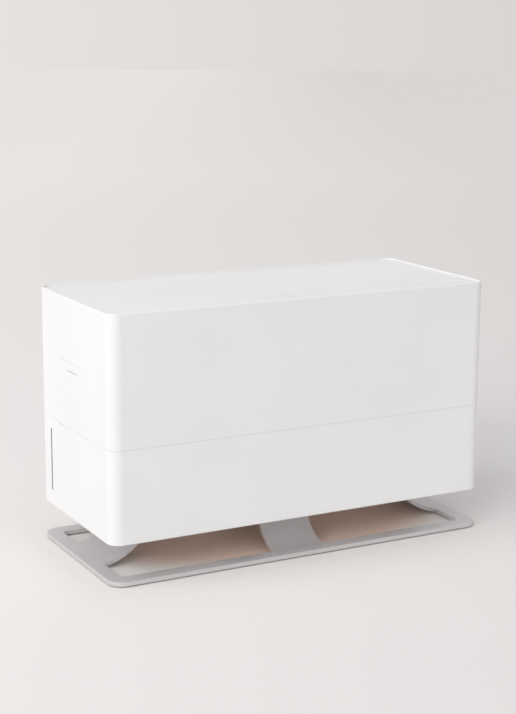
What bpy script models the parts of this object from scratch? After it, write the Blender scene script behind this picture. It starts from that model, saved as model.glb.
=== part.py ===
"""Evaporative room humidifier: a long two-part white body on a bent sheet-metal stand.

Metres, +Z up. The origin is on the floor under the middle of the body, +X runs along the body
to the user's right and -Y is the front. The lower half of the body is the water tank, which is
fixed to the stand. The upper housing lifts off it and carries the fans, boards and drawer.
"""

import math

import bmesh
import bpy
from mathutils import Vector

MM = 0.001

# Outer form of the body
WIDTH = 464 * MM
DEPTH = 199 * MM
BODY_BOTTOM = 45 * MM
BODY_TOP = 290 * MM
SEAM = 147 * MM
CORNER = 14 * MM
RIM_BELOW_SEAM = 0.2 * MM
SKIRT_ABOVE_SEAM = 0.3 * MM
FIT = 0.3 * MM
CORNER_STEPS = 6

# Stand, bent from one sheet
PLATE_X = 463 * MM
PLATE_Y = 204.5 * MM
PLATE_TOP = 6 * MM
SHEET = 4.7 * MM
END_BAR = 17 * MM
LONG_BAR = 17.7 * MM
PLATE_CORNER = 17 * MM
WINDOW_CORNER = 6 * MM
TONGUE_HALF = 38 * MM
TONGUE_START = 226 * MM
TONGUE_END = 120 * MM
TONGUE_RADIUS = 70 * MM
TONGUE_SLOPE = math.radians(52)
STRAP_HALF = 31 * MM
STRAP_START = 87 * MM
STRAP_RADIUS = 42 * MM
STRAP_SLOPE = math.radians(60)
BEND_STEPS = 7

# Feet under the stand
FOOT_RADIUS = 6.5 * MM
FOOT_X = 205 * MM
FOOT_HEIGHT = PLATE_TOP - SHEET - FIT

# Screws: head radius, head height, shank radius, shank length
STAND_SCREW = (4 * MM, 2.8 * MM, 1.8 * MM, 14 * MM)
DECK_SCREW = (3.4 * MM, 2.6 * MM, 1.8 * MM, 13 * MM)
FAN_SCREW = (3 * MM, 2 * MM, 1.5 * MM, 27.5 * MM)
SCREW_STEPS = 14
SCREW_PLACES = [(x, y) for x in (-133 * MM, 133 * MM) for y in (-30 * MM, 30 * MM)]
SCREW_PLACES += [(0, -13 * MM), (0, 13 * MM)]

# Water tank
TANK_WALL = 3 * MM
TANK_FLOOR = 2.5 * MM
TANK_EDGE = 1.2 * MM
BOSS_RADIUS = 5.5 * MM
BOSS_HEIGHT = 10 * MM
GRIP_HALF = 40 * MM
GRIP_HEIGHT = 4 * MM
GRIP_DEPTH = 1.8 * MM

# Water level window in the left wall, and the float behind it
LEVEL_Y = 67 * MM
LEVEL_LOW = 62.5 * MM
LEVEL_HIGH = 134.5 * MM
SLIT_HALF = 1.75 * MM
CAGE_HALF = 9 * MM
CAGE_DEPTH = 16 * MM
CAGE_WALL = 1.6 * MM
CAGE_LOW = 48 * MM
CAGE_HIGH = 137 * MM
FLOAT_SIZE = (10.5 * MM, 12.6 * MM, 14 * MM)
FLOAT_BOTTOM = 53 * MM

# Wick cassettes standing in the tank
CASSETTE = (184 * MM, 40 * MM, 142 * MM)
CASSETTE_X = 98 * MM
CASSETTE_BAR = 6 * MM
RIB_WIDTH = 3 * MM
RIB_DEPTH = 1.6 * MM

# Upper housing
HOUSING_WALL = 2.5 * MM
RIM_WIDTH = 2 * MM
RIM_ROUND = 1.4 * MM
LEDGE_TOP = 284 * MM
LEDGE_WIDTH = 6 * MM
LEDGE_HEIGHT = 2.5 * MM
LIP_BOTTOM = 139 * MM
LIP_WALL = 1.8 * MM
LIP_GAP = 0.4 * MM

# Top grille, with the control panel in its front right corner
GRILLE_TOP = 288.2 * MM
GRILLE_BOTTOM = LEDGE_TOP + FIT
SLOT_LEFT = -222 * MM
SLOT_RIGHT = 222 * MM
SLOT_PITCH = 5 * MM
SLOT_WIDTH = 2 * MM
SLOT_ROWS = 36
SLOT_COLUMNS = 3
SLOT_WEB = 4 * MM
PANEL_LEFT = 172 * MM
PANEL_REAR = -57 * MM

# Buttons on the control panel
BUTTON_FIRST_X = 191 * MM
BUTTON_PITCH = 8.5 * MM
BUTTON_COUNT = 4
BUTTON_Y = -71 * MM
BUTTON_RADIUS = 3.1 * MM
BUTTON_PROUD = 0.5 * MM
FLANGE_RADIUS = 3.9 * MM
FLANGE_BOTTOM = 282.2 * MM
BUTTON_BOARD = ((184 * MM, -79 * MM, 278.6 * MM), (223.5 * MM, -61 * MM, 280.2 * MM))

# Fan deck and the two fans on it
DECK_BOTTOM = 196 * MM
DECK_TOP = 199 * MM
DECK_INSET = 5.6 * MM
DECK_POST = (220 * MM, 87.5 * MM)
POST_RADIUS = 9.2 * MM
POST_TOP = 214 * MM
FAN_X = 75 * MM
FAN_HALF = 60 * MM
FAN_HEIGHT = 25 * MM
FAN_BASE = DECK_TOP + FIT
DUCT_RADIUS = 57 * MM
DUCT_STEPS = 40
FAN_SCREW_AT = 52.5 * MM
SPIDER_LOW = 22 * MM
SPIDER_HIGH = 24.8 * MM
SPIDER_WIDTH = 5 * MM
HUB_RADIUS = 22 * MM
HUB_LOW = 3.6 * MM
HUB_HIGH = 19.6 * MM
HUB_WALL = 4.5 * MM
HUB_FLOOR = 2.5 * MM
MOTOR_RADIUS = 16 * MM
SHAFT_RADIUS = 2 * MM
SHAFT_CLEARANCE = 0.08 * MM
BLADE_COUNT = 7
BLADE_TIP = 54.5 * MM
BLADE_THICKNESS = 1.8 * MM
BLADE_CHORD = (19 * MM, 32 * MM)
BLADE_PITCH = (math.radians(40), math.radians(24))
BLADE_SWEEP = 0.25

# Aroma drawer in the left wall
DRAWER_HALF = 42 * MM
DRAWER_LOW = 200.6 * MM
DRAWER_HIGH = 220 * MM
DRAWER_FACE = 2.4 * MM
CUP_HALF = 40 * MM
CUP_LENGTH = 60 * MM
CUP_BOTTOM = 201.6 * MM
CUP_TOP = 216 * MM
CUP_WALL = 1.6 * MM
PAD = (44 * MM, 60 * MM, 3 * MM)
PAD_X = -200 * MM
NOTCH = (28 * MM, 3.2 * MM, 1.4 * MM)
NOTCH_Z = 210.4 * MM

# Rear air inlet, power inlet and electronics
INLET_GRILLE = (304 * MM, 36 * MM)
INLET_GRILLE_Z = 173 * MM
INLET_ROWS = 4
INLET_COLUMNS = 3
SOCKET_AT = (196 * MM, 228 * MM)
SOCKET = (24 * MM, 15 * MM, 16 * MM)
POWER_BOARD = ((154 * MM, -56 * MM, 201.5 * MM), (208 * MM, 56 * MM, 203.1 * MM))
TRANSFORMER = ((160 * MM, 18 * MM), (186 * MM, 46 * MM))
TRANSFORMER_HEIGHT = 22 * MM
CAPACITOR_PLACES = ((166 * MM, -44 * MM), (166 * MM, -28 * MM))
CAPACITOR_RADIUS = 6 * MM
CAPACITOR_HEIGHT = 20 * MM
CONNECTOR = (9 * MM, 11 * MM, 8 * MM)
CONNECTOR_PLACES = ((194 * MM, -46 * MM), (194 * MM, -30 * MM), (194 * MM, -14 * MM))
BOARD_COVER = ((149 * MM, -62 * MM, DECK_TOP + FIT), (213 * MM, 62 * MM, 236 * MM))
COVER_WALL = 1.8 * MM
SENSOR_AT = (150 * MM, 222 * MM)
SENSOR_BOARD = (18 * MM, 1.6 * MM, 14 * MM)
SENSOR_CHIP = (6 * MM, 4 * MM, 6 * MM)

FINISHES = {
    "white": ((0.86, 0.86, 0.86), 0.38, 0.0),
    "silver": ((0.45, 0.44, 0.45), 0.38, 0.6),
    "rubber": ((0.06, 0.06, 0.06), 0.85, 0.0),
    "steel": ((0.6, 0.6, 0.62), 0.3, 1.0),
    "smoke": ((0.22, 0.22, 0.23), 0.15, 0.0),
    "orange": ((0.85, 0.3, 0.06), 0.4, 0.0),
    "pale_blue": ((0.62, 0.72, 0.78), 0.45, 0.0),
    "paper": ((0.84, 0.82, 0.76), 0.95, 0.0),
    "black": ((0.05, 0.05, 0.055), 0.5, 0.0),
    "green": ((0.05, 0.2, 0.09), 0.45, 0.0),
    "grey": ((0.5, 0.5, 0.51), 0.5, 0.0),
}


# ---- Mesh helpers ------------------------------------------------------------------------------


def rounded_rectangle(half_x, half_y, radius, steps=CORNER_STEPS):
    """Points of a rounded rectangle about the origin, anticlockwise."""
    points = []
    for sign_x, sign_y, start in ((1, 1, 0), (-1, 1, 90), (-1, -1, 180), (1, -1, 270)):
        for step in range(steps + 1):
            angle = math.radians(start + 90 * step / steps)
            x = sign_x * (half_x - radius) + radius * math.cos(angle)
            y = sign_y * (half_y - radius) + radius * math.sin(angle)
            points.append((x, y))
    return points


def circle(radius, steps):
    """Points of a circle about the origin, anticlockwise."""
    turns = [2 * math.pi * step / steps for step in range(steps)]
    return [(radius * math.cos(turn), radius * math.sin(turn)) for turn in turns]


def add_loft(bm, rings, closed=False):
    """Skins a row of rings that have equal counts; an open row is capped at both ends."""
    loops = [[bm.verts.new(point) for point in ring] for ring in rings]
    pairs = list(zip(loops, loops[1:]))
    if closed:
        pairs.append((loops[-1], loops[0]))
    for first, second in pairs:
        for i in range(len(first)):
            j = (i + 1) % len(first)
            bm.faces.new((first[i], first[j], second[j], second[i]))
    if not closed:
        bm.faces.new(loops[0][::-1])
        bm.faces.new(loops[-1])


def add_box(bm, low, high):
    """A box between two opposite corners."""
    outline = [(low[0], low[1]), (high[0], low[1]), (high[0], high[1]), (low[0], high[1])]
    add_loft(bm, [[(x, y, z) for x, y in outline] for z in (low[2], high[2])])


def add_cylinder(bm, x, y, low, high, radius, steps):
    """An upright cylinder with its axis through x, y."""
    add_loft(bm, [[(x + u, y + v, z) for u, v in circle(radius, steps)] for z in (low, high)])


def add_turned(bm, profile, steps, closed=False):
    """Turns a (radius, height) profile about Z."""
    add_loft(bm, [[(u, v, z) for u, v in circle(radius, steps)] for radius, z in profile], closed)


def add_wall(bm, profile, closed=False):
    """Carries an (inset, height) profile round the body's outline."""
    rings = []
    for inset, height in profile:
        outline = rounded_rectangle(WIDTH / 2 - inset, DEPTH / 2 - inset, CORNER - inset)
        rings.append([(x, y, height) for x, y in outline])
    add_loft(bm, rings, closed)


def add_prism(bm, outline, axis, low, high):
    """Extrudes an outline along X or Y; its points are (y, z) or (x, z)."""
    rings = []
    for level in (low, high):
        if axis == "X":
            rings.append([(level, u, v) for u, v in outline])
        else:
            rings.append([(u, level, v) for u, v in outline])
    add_loft(bm, rings)


# ---- Objects -----------------------------------------------------------------------------------


def clear_scene():
    for obj in list(bpy.data.objects):
        bpy.data.objects.remove(obj, do_unlink=True)


def finish(obj, name):
    """Gives the object a Principled material of its own."""
    color, roughness, metallic = FINISHES[name]
    material = bpy.data.materials.new(f"{obj.name}_{name}")
    material.use_nodes = True
    shader = material.node_tree.nodes["Principled BSDF"]
    shader.inputs["Base Color"].default_value = (*color, 1)
    shader.inputs["Roughness"].default_value = roughness
    shader.inputs["Metallic"].default_value = metallic
    material.diffuse_color = (*color, 1)
    obj.data.materials.append(material)


def mesh_object(name, build, location=(0, 0, 0), parent=None):
    """An object whose mesh build(bm) draws about location; faces end up pointing outwards."""
    bm = bmesh.new()
    build(bm)
    bmesh.ops.recalc_face_normals(bm, faces=bm.faces)
    mesh = bpy.data.meshes.new(name)
    bm.to_mesh(mesh)
    bm.free()
    mesh.shade_smooth()
    mesh.set_sharp_from_angle(angle=math.radians(30))
    obj = bpy.data.objects.new(name, mesh)
    bpy.context.scene.collection.objects.link(obj)
    obj.parent = parent
    obj.location = Vector(location) - (parent.location if parent else Vector())
    return obj


def part(name, build, finish_name, location=(0, 0, 0), parent=None):
    obj = mesh_object(name, build, location, parent)
    finish(obj, finish_name)
    return obj


def shape_with(obj, operation, name, build):
    """Adds a Boolean to obj, with a hidden tool drawn about obj's own origin."""
    tool = mesh_object(f"{obj.name}_{name}", build)
    tool.parent = obj
    tool.hide_render = True
    tool.display_type = "WIRE"
    modifier = obj.modifiers.new(name, "BOOLEAN")
    modifier.operation = operation
    modifier.object = tool


def cut(obj, name, build):
    shape_with(obj, "DIFFERENCE", name, build)


def add(obj, name, build):
    shape_with(obj, "UNION", name, build)


def group(name, location):
    """An empty that the pieces of one moving group are parented to."""
    empty = bpy.data.objects.new(name, None)
    empty.location = location
    bpy.context.scene.collection.objects.link(empty)
    return empty


def make_screw(name, size, location, parent, pointing_down=False):
    """A pan-head screw; its origin is under the head."""
    head_radius, head_height, radius, length = size
    profile = [
        (head_radius * 0.7, -head_height),
        (head_radius, -head_height * 0.55),
        (head_radius, 0),
        (radius, 0),
        (radius, length - radius),
        (radius * 0.4, length),
    ]
    screw = part(name, lambda bm: add_turned(bm, profile, SCREW_STEPS), "steel", location, parent)
    if pointing_down:
        screw.rotation_euler.x = math.pi


# ---- Stand -------------------------------------------------------------------------------------


def rising_sheet(start, radius, slope, end):
    """Outline of a sheet that leaves the plate at start, climbs, levels out and stops at end.

    Its points are (distance from the middle, height). It climbs towards the middle, with one
    bend of the given radius and a second one that brings it level under the tank.
    """
    rise = BODY_BOTTOM - FIT - PLATE_TOP
    second_radius = rise / (1 - math.cos(slope)) - radius
    run = (radius + second_radius) * math.sin(slope)
    path = [(start + END_BAR * 0.15, PLATE_TOP, 0)]
    for step in range(BEND_STEPS + 1):
        angle = slope * step / BEND_STEPS
        path.append((start - radius * math.sin(angle), PLATE_TOP + radius * (1 - math.cos(angle)), angle))
    for step in range(BEND_STEPS - 1, -1, -1):
        angle = slope * step / BEND_STEPS
        height = PLATE_TOP + rise - second_radius * (1 - math.cos(angle))
        path.append((start - run + second_radius * math.sin(angle), height, angle))
    path.append((end, PLATE_TOP + rise, 0))
    above = [(u, v) for u, v, angle in path]
    below = [(u - SHEET * math.sin(angle), v - SHEET * math.cos(angle)) for u, v, angle in path]
    return above, below


def make_stand(root):
    def plate(bm):
        outline = rounded_rectangle(PLATE_X / 2, PLATE_Y / 2, PLATE_CORNER)
        add_loft(bm, [[(x, y, z) for x, y in outline] for z in (PLATE_TOP - SHEET, PLATE_TOP)])

    def window(bm):
        outline = rounded_rectangle(PLATE_X / 2 - END_BAR, PLATE_Y / 2 - LONG_BAR, WINDOW_CORNER)
        add_loft(bm, [[(x, y, z) for x, y in outline] for z in (0, 2 * PLATE_TOP)])

    def tongues(bm):
        above, below = rising_sheet(TONGUE_START, TONGUE_RADIUS, TONGUE_SLOPE, TONGUE_END)
        for side in (-1, 1):
            outline = [(side * u, v) for u, v in above + below[::-1]]
            add_prism(bm, outline, "Y", -TONGUE_HALF, TONGUE_HALF)

    def strap(bm):
        above, below = rising_sheet(STRAP_START, STRAP_RADIUS, STRAP_SLOPE, 0)
        upper = above[:-1] + [(-u, v) for u, v in above[-2::-1]]
        lower = below[:-1] + [(-u, v) for u, v in below[-2::-1]]
        add_prism(bm, upper + lower[::-1], "X", -STRAP_HALF, STRAP_HALF)

    def screw_holes(bm):
        for x, y in SCREW_PLACES:
            add_cylinder(bm, x, y, BODY_BOTTOM - 2 * SHEET, BODY_BOTTOM, STAND_SCREW[2] + FIT, SCREW_STEPS)

    stand = part("stand", plate, "silver", (0, 0, 0), root)
    cut(stand, "window", window)
    add(stand, "tongues", tongues)
    add(stand, "strap", strap)
    cut(stand, "screw_holes", screw_holes)


def make_feet(root):
    def foot(bm):
        edge = 0.3 * MM
        add_turned(bm, [(FOOT_RADIUS - edge, 0), (FOOT_RADIUS, edge), (FOOT_RADIUS, FOOT_HEIGHT)], 20)

    y = PLATE_Y / 2 - LONG_BAR / 2
    places = [(-FOOT_X, -y), (FOOT_X, -y), (FOOT_X, y), (-FOOT_X, y)]
    for number, (foot_x, foot_y) in enumerate(places, 1):
        part(f"foot_pad_{number}", foot, "rubber", (foot_x, foot_y, 0), root)


def make_stand_screws(root):
    head_seat = BODY_BOTTOM - FIT - SHEET - FIT
    for number, (x, y) in enumerate(SCREW_PLACES, 1):
        make_screw(f"stand_screw_{number}", STAND_SCREW, (x, y, head_seat), root)


# ---- Water tank --------------------------------------------------------------------------------


def make_water_tank(root):
    rim = SEAM - RIM_BELOW_SEAM
    floor = BODY_BOTTOM + TANK_FLOOR
    profile = [
        (TANK_EDGE, BODY_BOTTOM),
        (0, BODY_BOTTOM + TANK_EDGE),
        (0, rim),
        (TANK_WALL, rim),
        (TANK_WALL, floor),
    ]

    def bosses(bm):
        for x, y in SCREW_PLACES:
            add_cylinder(bm, x, y, floor - TANK_FLOOR / 2, floor + BOSS_HEIGHT, BOSS_RADIUS, 18)

    def screw_holes(bm):
        top = BODY_BOTTOM + BOSS_HEIGHT
        for x, y in SCREW_PLACES:
            add_cylinder(bm, x, y, BODY_BOTTOM - MM, top, STAND_SCREW[2] + FIT, SCREW_STEPS)

    def level_slit(bm):
        low = (-WIDTH / 2 - MM, LEVEL_Y - SLIT_HALF, LEVEL_LOW)
        high = (-WIDTH / 2 + TANK_WALL + MM, LEVEL_Y + SLIT_HALF, LEVEL_HIGH)
        add_box(bm, low, high)

    def grips(bm):
        for side in (-1, 1):
            outer = side * (WIDTH / 2 + MM)
            inner = side * (WIDTH / 2 - GRIP_DEPTH)
            low = (min(outer, inner), -GRIP_HALF, rim - GRIP_HEIGHT)
            add_box(bm, low, (max(outer, inner), GRIP_HALF, rim + MM))

    tank = part("water_tank", lambda bm: add_wall(bm, profile), "white", (0, 0, 0), root)
    add(tank, "bosses", bosses)
    cut(tank, "screw_holes", screw_holes)
    cut(tank, "level_slit", level_slit)
    cut(tank, "grips", grips)


def make_level_window(root):
    low = (-WIDTH / 2 + FIT / 3, LEVEL_Y - SLIT_HALF + FIT, LEVEL_LOW + FIT)
    high = (-WIDTH / 2 + TANK_WALL - FIT, LEVEL_Y + SLIT_HALF - FIT, LEVEL_HIGH - FIT)
    part("level_window", lambda bm: add_box(bm, low, high), "smoke", (0, 0, 0), root)


def make_float_cage(root):
    wall_face = -WIDTH / 2 + TANK_WALL + 0.4 * MM
    back = wall_face + CAGE_DEPTH
    inner = CAGE_HALF - CAGE_WALL
    outline = [
        (wall_face, LEVEL_Y - CAGE_HALF),
        (back, LEVEL_Y - CAGE_HALF),
        (back, LEVEL_Y + CAGE_HALF),
        (wall_face, LEVEL_Y + CAGE_HALF),
        (wall_face, LEVEL_Y + inner),
        (back - CAGE_WALL, LEVEL_Y + inner),
        (back - CAGE_WALL, LEVEL_Y - inner),
        (wall_face, LEVEL_Y - inner),
    ]

    def channel(bm):
        add_loft(bm, [[(x, y, z) for x, y in outline] for z in (CAGE_LOW, CAGE_HIGH)])

    part("float_cage", channel, "pale_blue", (0, 0, 0), root)


def make_level_float(root):
    x = -WIDTH / 2 + TANK_WALL + 0.4 * MM + (CAGE_DEPTH - CAGE_WALL) / 2
    half_x, half_y, height = FLOAT_SIZE[0] / 2, FLOAT_SIZE[1] / 2, FLOAT_SIZE[2]
    edge = 1.2 * MM

    def body(bm):
        rings = []
        for inset, z in ((edge, 0), (0, edge), (0, height - edge), (edge, height)):
            outline = rounded_rectangle(half_x - inset, half_y - inset, 2 * edge - inset, 3)
            rings.append([(u, v, z) for u, v in outline])
        add_loft(bm, rings)

    part("level_float", body, "orange", (x, LEVEL_Y, FLOAT_BOTTOM), root)


# ---- Wick cassettes ----------------------------------------------------------------------------


def make_cassette(side, x, root):
    half_x, half_y, height = CASSETTE[0] / 2, CASSETTE[1] / 2, CASSETTE[2]
    bottom = BODY_BOTTOM + TANK_FLOOR + FIT
    window_x = half_x - CASSETTE_BAR
    window_low = CASSETTE_BAR
    window_high = height - CASSETTE_BAR
    overlap = CASSETTE_BAR / 3

    def block(bm):
        add_box(bm, (-half_x, -half_y, 0), (half_x, half_y, height))

    def window(bm):
        add_box(bm, (-window_x, -half_y - MM, window_low), (window_x, half_y + MM, window_high))

    def faces():
        """The depths between which the ribs lie, just inside the front and the rear face."""
        edge = half_y - 0.2 * MM
        return (-edge, RIB_DEPTH - edge), (edge - RIB_DEPTH, edge)

    def upright_ribs(bm):
        for y_low, y_high in faces():
            for rib_x in (-window_x / 3, window_x / 3):
                low = (rib_x - RIB_WIDTH / 2, y_low, window_low - overlap)
                add_box(bm, low, (rib_x + RIB_WIDTH / 2, y_high, window_high + overlap))

    def level_ribs(bm):
        middle = height / 2
        for y_low, y_high in faces():
            low = (-window_x - overlap, y_low + FIT / 3, middle - RIB_WIDTH / 2)
            add_box(bm, low, (window_x + overlap, y_high - FIT / 3, middle + RIB_WIDTH / 2))

    def wick(bm):
        depth = half_y - 0.2 * MM - RIB_DEPTH - FIT
        low = (-window_x + FIT, -depth, window_low + FIT)
        add_box(bm, low, (window_x - FIT, depth, window_high - FIT))

    frame = part(f"cassette_frame_{side}", block, "pale_blue", (x, 0, bottom), root)
    cut(frame, "window", window)
    add(frame, "upright_ribs", upright_ribs)
    add(frame, "level_ribs", level_ribs)
    part(f"wick_pad_{side}", wick, "paper", (x, 0, bottom), root)


# ---- Upper housing -----------------------------------------------------------------------------


def make_upper_housing(housing):
    bottom = SEAM + SKIRT_ABOVE_SEAM
    lip_outer = TANK_WALL + LIP_GAP
    lip_inner = lip_outer + LIP_WALL
    step = lip_inner - HOUSING_WALL
    profile = [(0, bottom)]
    for turn in range(4):
        angle = math.radians(30 * turn)
        inset = RIM_ROUND * (1 - math.cos(angle))
        profile.append((inset, BODY_TOP - RIM_ROUND * (1 - math.sin(angle))))
    profile += [
        (RIM_WIDTH, BODY_TOP),
        (RIM_WIDTH, LEDGE_TOP),
        (LEDGE_WIDTH, LEDGE_TOP),
        (LEDGE_WIDTH, LEDGE_TOP - LEDGE_HEIGHT),
        (HOUSING_WALL, LEDGE_TOP - LEDGE_HEIGHT - LEDGE_WIDTH + HOUSING_WALL),
        (HOUSING_WALL, bottom + 2 * step),
        (lip_inner, bottom + step),
        (lip_inner, LIP_BOTTOM),
        (lip_outer, LIP_BOTTOM),
        (lip_outer, bottom),
    ]

    def posts(bm):
        for x in (-DECK_POST[0], DECK_POST[0]):
            for y in (-DECK_POST[1], DECK_POST[1]):
                add_cylinder(bm, x, y, DECK_TOP + FIT, POST_TOP, POST_RADIUS, 24)

    def openings(bm):
        wall_x = (-WIDTH / 2 - MM, -WIDTH / 2 + HOUSING_WALL + MM)
        low = (wall_x[0], -DRAWER_HALF - FIT, DRAWER_LOW - FIT)
        add_box(bm, low, (wall_x[1], DRAWER_HALF + FIT, DRAWER_HIGH + FIT))
        wall_y = (DEPTH / 2 - HOUSING_WALL - MM, DEPTH / 2 + MM)
        half_x, half_z = INLET_GRILLE[0] / 2, INLET_GRILLE[1] / 2
        low = (-half_x, wall_y[0], INLET_GRILLE_Z - half_z)
        add_box(bm, low, (half_x, wall_y[1], INLET_GRILLE_Z + half_z))
        half_x, half_z = SOCKET[0] / 2 + FIT, SOCKET[2] / 2 + FIT
        low = (SOCKET_AT[0] - half_x, wall_y[0], SOCKET_AT[1] - half_z)
        add_box(bm, low, (SOCKET_AT[0] + half_x, wall_y[1], SOCKET_AT[1] + half_z))

    def screw_holes(bm):
        for x in (-DECK_POST[0], DECK_POST[0]):
            for y in (-DECK_POST[1], DECK_POST[1]):
                top = POST_TOP - 2 * MM
                add_cylinder(bm, x, y, DECK_TOP, top, DECK_SCREW[2] + FIT, SCREW_STEPS)

    shell = part(
        "upper_housing", lambda bm: add_wall(bm, profile, closed=True), "white", (0, 0, 0), housing
    )
    add(shell, "posts", posts)
    cut(shell, "openings", openings)
    cut(shell, "screw_holes", screw_holes)


def button_places():
    return [BUTTON_FIRST_X + BUTTON_PITCH * number for number in range(BUTTON_COUNT)]


def make_top_grille(housing):
    inset = RIM_WIDTH + FIT

    def panel(bm):
        add_wall(bm, [(inset, GRILLE_BOTTOM), (inset, GRILLE_TOP)])

    def slots(bm):
        length = (SLOT_RIGHT - SLOT_LEFT - SLOT_WEB * (SLOT_COLUMNS - 1)) / SLOT_COLUMNS
        for row in range(SLOT_ROWS):
            y = (row - (SLOT_ROWS - 1) / 2) * SLOT_PITCH
            limit = PANEL_LEFT if y < PANEL_REAR else SLOT_RIGHT
            for column in range(SLOT_COLUMNS):
                x = SLOT_LEFT + column * (length + SLOT_WEB)
                low = (x, y - SLOT_WIDTH / 2, GRILLE_BOTTOM - MM)
                high = (min(x + length, limit), y + SLOT_WIDTH / 2, GRILLE_TOP + MM)
                add_box(bm, low, high)

    def button_holes(bm):
        for x in button_places():
            radius = BUTTON_RADIUS + FIT
            add_cylinder(bm, x, BUTTON_Y, GRILLE_BOTTOM - MM, GRILLE_TOP + MM, radius, 20)

    def board_posts(bm):
        low, high = BUTTON_BOARD
        margin, radius = 3 * MM, 2 * MM
        for x in (low[0] + margin, high[0] - margin):
            add_cylinder(bm, x, high[1] - margin, high[2] + FIT, GRILLE_BOTTOM + MM, radius, 12)

    grille = part("top_grille", panel, "white", (0, 0, 0), housing)
    cut(grille, "slots", slots)
    cut(grille, "button_holes", button_holes)
    add(grille, "board_posts", board_posts)


def make_buttons(housing):
    flange_top = GRILLE_BOTTOM - 0.4 * MM
    top = GRILLE_TOP + BUTTON_PROUD
    edge = 0.5 * MM
    profile = [
        (FLANGE_RADIUS, FLANGE_BOTTOM),
        (FLANGE_RADIUS, flange_top),
        (BUTTON_RADIUS, flange_top),
        (BUTTON_RADIUS, top - edge),
        (BUTTON_RADIUS - edge, top),
    ]
    local = [(radius, height - GRILLE_TOP) for radius, height in profile]
    for number, x in enumerate(button_places(), 1):
        place = (x, BUTTON_Y, GRILLE_TOP)
        part(f"button_{number}", lambda bm: add_turned(bm, local, 20), "white", place, housing)


def make_button_board(housing):
    low, high = BUTTON_BOARD
    switch = 2.5 * MM

    def switches(bm):
        for x in button_places():
            corner = (x - switch, BUTTON_Y - switch, high[2] - MM / 2)
            add_box(bm, corner, (x + switch, BUTTON_Y + switch, high[2] + MM))

    board = part("button_board", lambda bm: add_box(bm, low, high), "green", (0, 0, 0), housing)
    add(board, "switches", switches)


def make_rear_grille(housing):
    half_x, half_z = INLET_GRILLE[0] / 2 - FIT, INLET_GRILLE[1] / 2 - FIT
    inner = DEPTH / 2 - HOUSING_WALL - 0.4 * MM
    outer = DEPTH / 2 - FIT
    margin = 4 * MM
    slot_height = 4.2 * MM

    def plate(bm):
        add_box(bm, (-half_x, inner, -half_z), (half_x, outer, half_z))

    def slots(bm):
        length = (2 * half_x - margin * (INLET_COLUMNS + 1)) / INLET_COLUMNS
        pitch = (2 * half_z - 2 * margin - slot_height) / (INLET_ROWS - 1)
        for column in range(INLET_COLUMNS):
            x = -half_x + margin + column * (length + margin)
            for row in range(INLET_ROWS):
                z = -half_z + margin + row * pitch
                add_box(bm, (x, inner - MM, z), (x + length, outer + MM, z + slot_height))

    grille = part("rear_grille", plate, "white", (0, 0, INLET_GRILLE_Z), housing)
    cut(grille, "slots", slots)


# ---- Fan deck and fans -------------------------------------------------------------------------


def make_fan_deck(housing):
    def plate(bm):
        add_wall(bm, [(DECK_INSET, DECK_BOTTOM), (DECK_INSET, DECK_TOP)])

    def ducts(bm):
        for x in (-FAN_X, FAN_X):
            add_cylinder(bm, x, 0, DECK_BOTTOM - MM, DECK_TOP + MM, DUCT_RADIUS, DUCT_STEPS)

    def screw_holes(bm):
        levels = (DECK_BOTTOM - MM, DECK_TOP + MM)
        for x in (-DECK_POST[0], DECK_POST[0]):
            for y in (-DECK_POST[1], DECK_POST[1]):
                add_cylinder(bm, x, y, *levels, DECK_SCREW[2] + FIT, SCREW_STEPS)
        for x in (-FAN_X, FAN_X):
            for side in (-1, 1):
                place = (x - side * FAN_SCREW_AT, side * FAN_SCREW_AT)
                add_cylinder(bm, *place, *levels, FAN_SCREW[2] + FIT, SCREW_STEPS)

    def board_posts(bm):
        low, high = POWER_BOARD
        margin, radius = 5 * MM, 3 * MM
        for x in (low[0] + margin, high[0] - margin):
            for y in (low[1] + margin, high[1] - margin):
                add_cylinder(bm, x, y, DECK_TOP - MM, low[2] - FIT, radius, 12)

    deck = part("fan_deck", plate, "grey", (0, 0, 0), housing)
    cut(deck, "ducts", ducts)
    cut(deck, "screw_holes", screw_holes)
    add(deck, "board_posts", board_posts)
    number = 1
    for x in (-DECK_POST[0], DECK_POST[0]):
        for y in (-DECK_POST[1], DECK_POST[1]):
            make_screw(f"deck_screw_{number}", DECK_SCREW, (x, y, DECK_BOTTOM - FIT), housing)
            number += 1


def make_fan_frame(side, centre, housing):
    def block(bm):
        outline = rounded_rectangle(FAN_HALF, FAN_HALF, 6 * MM, 4)
        add_loft(bm, [[(x, y, z) for x, y in outline] for z in (0, FAN_HEIGHT)])

    def holes(bm):
        add_cylinder(bm, 0, 0, -MM, FAN_HEIGHT + MM, DUCT_RADIUS, DUCT_STEPS)
        for x in (-FAN_SCREW_AT, FAN_SCREW_AT):
            for y in (-FAN_SCREW_AT, FAN_SCREW_AT):
                add_cylinder(bm, x, y, -MM, FAN_HEIGHT + MM, FAN_SCREW[2] + FIT, SCREW_STEPS)

    def arm(half_x, half_y):
        low = (-half_x, -half_y, SPIDER_LOW)
        return lambda bm: add_box(bm, low, (half_x, half_y, SPIDER_HIGH))

    def plate(bm):
        edge = 0.1 * MM
        add_cylinder(bm, 0, 0, SPIDER_LOW + edge, SPIDER_HIGH - edge, MOTOR_RADIUS + MM, 24)

    frame = part(f"fan_frame_{side}", block, "black", centre, housing)
    reach = DUCT_RADIUS + 1.5 * MM
    cut(frame, "holes", holes)
    add(frame, "arm_along", arm(reach, SPIDER_WIDTH / 2))
    add(frame, "arm_across", arm(SPIDER_WIDTH / 2, reach))
    add(frame, "motor_plate", plate)


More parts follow.
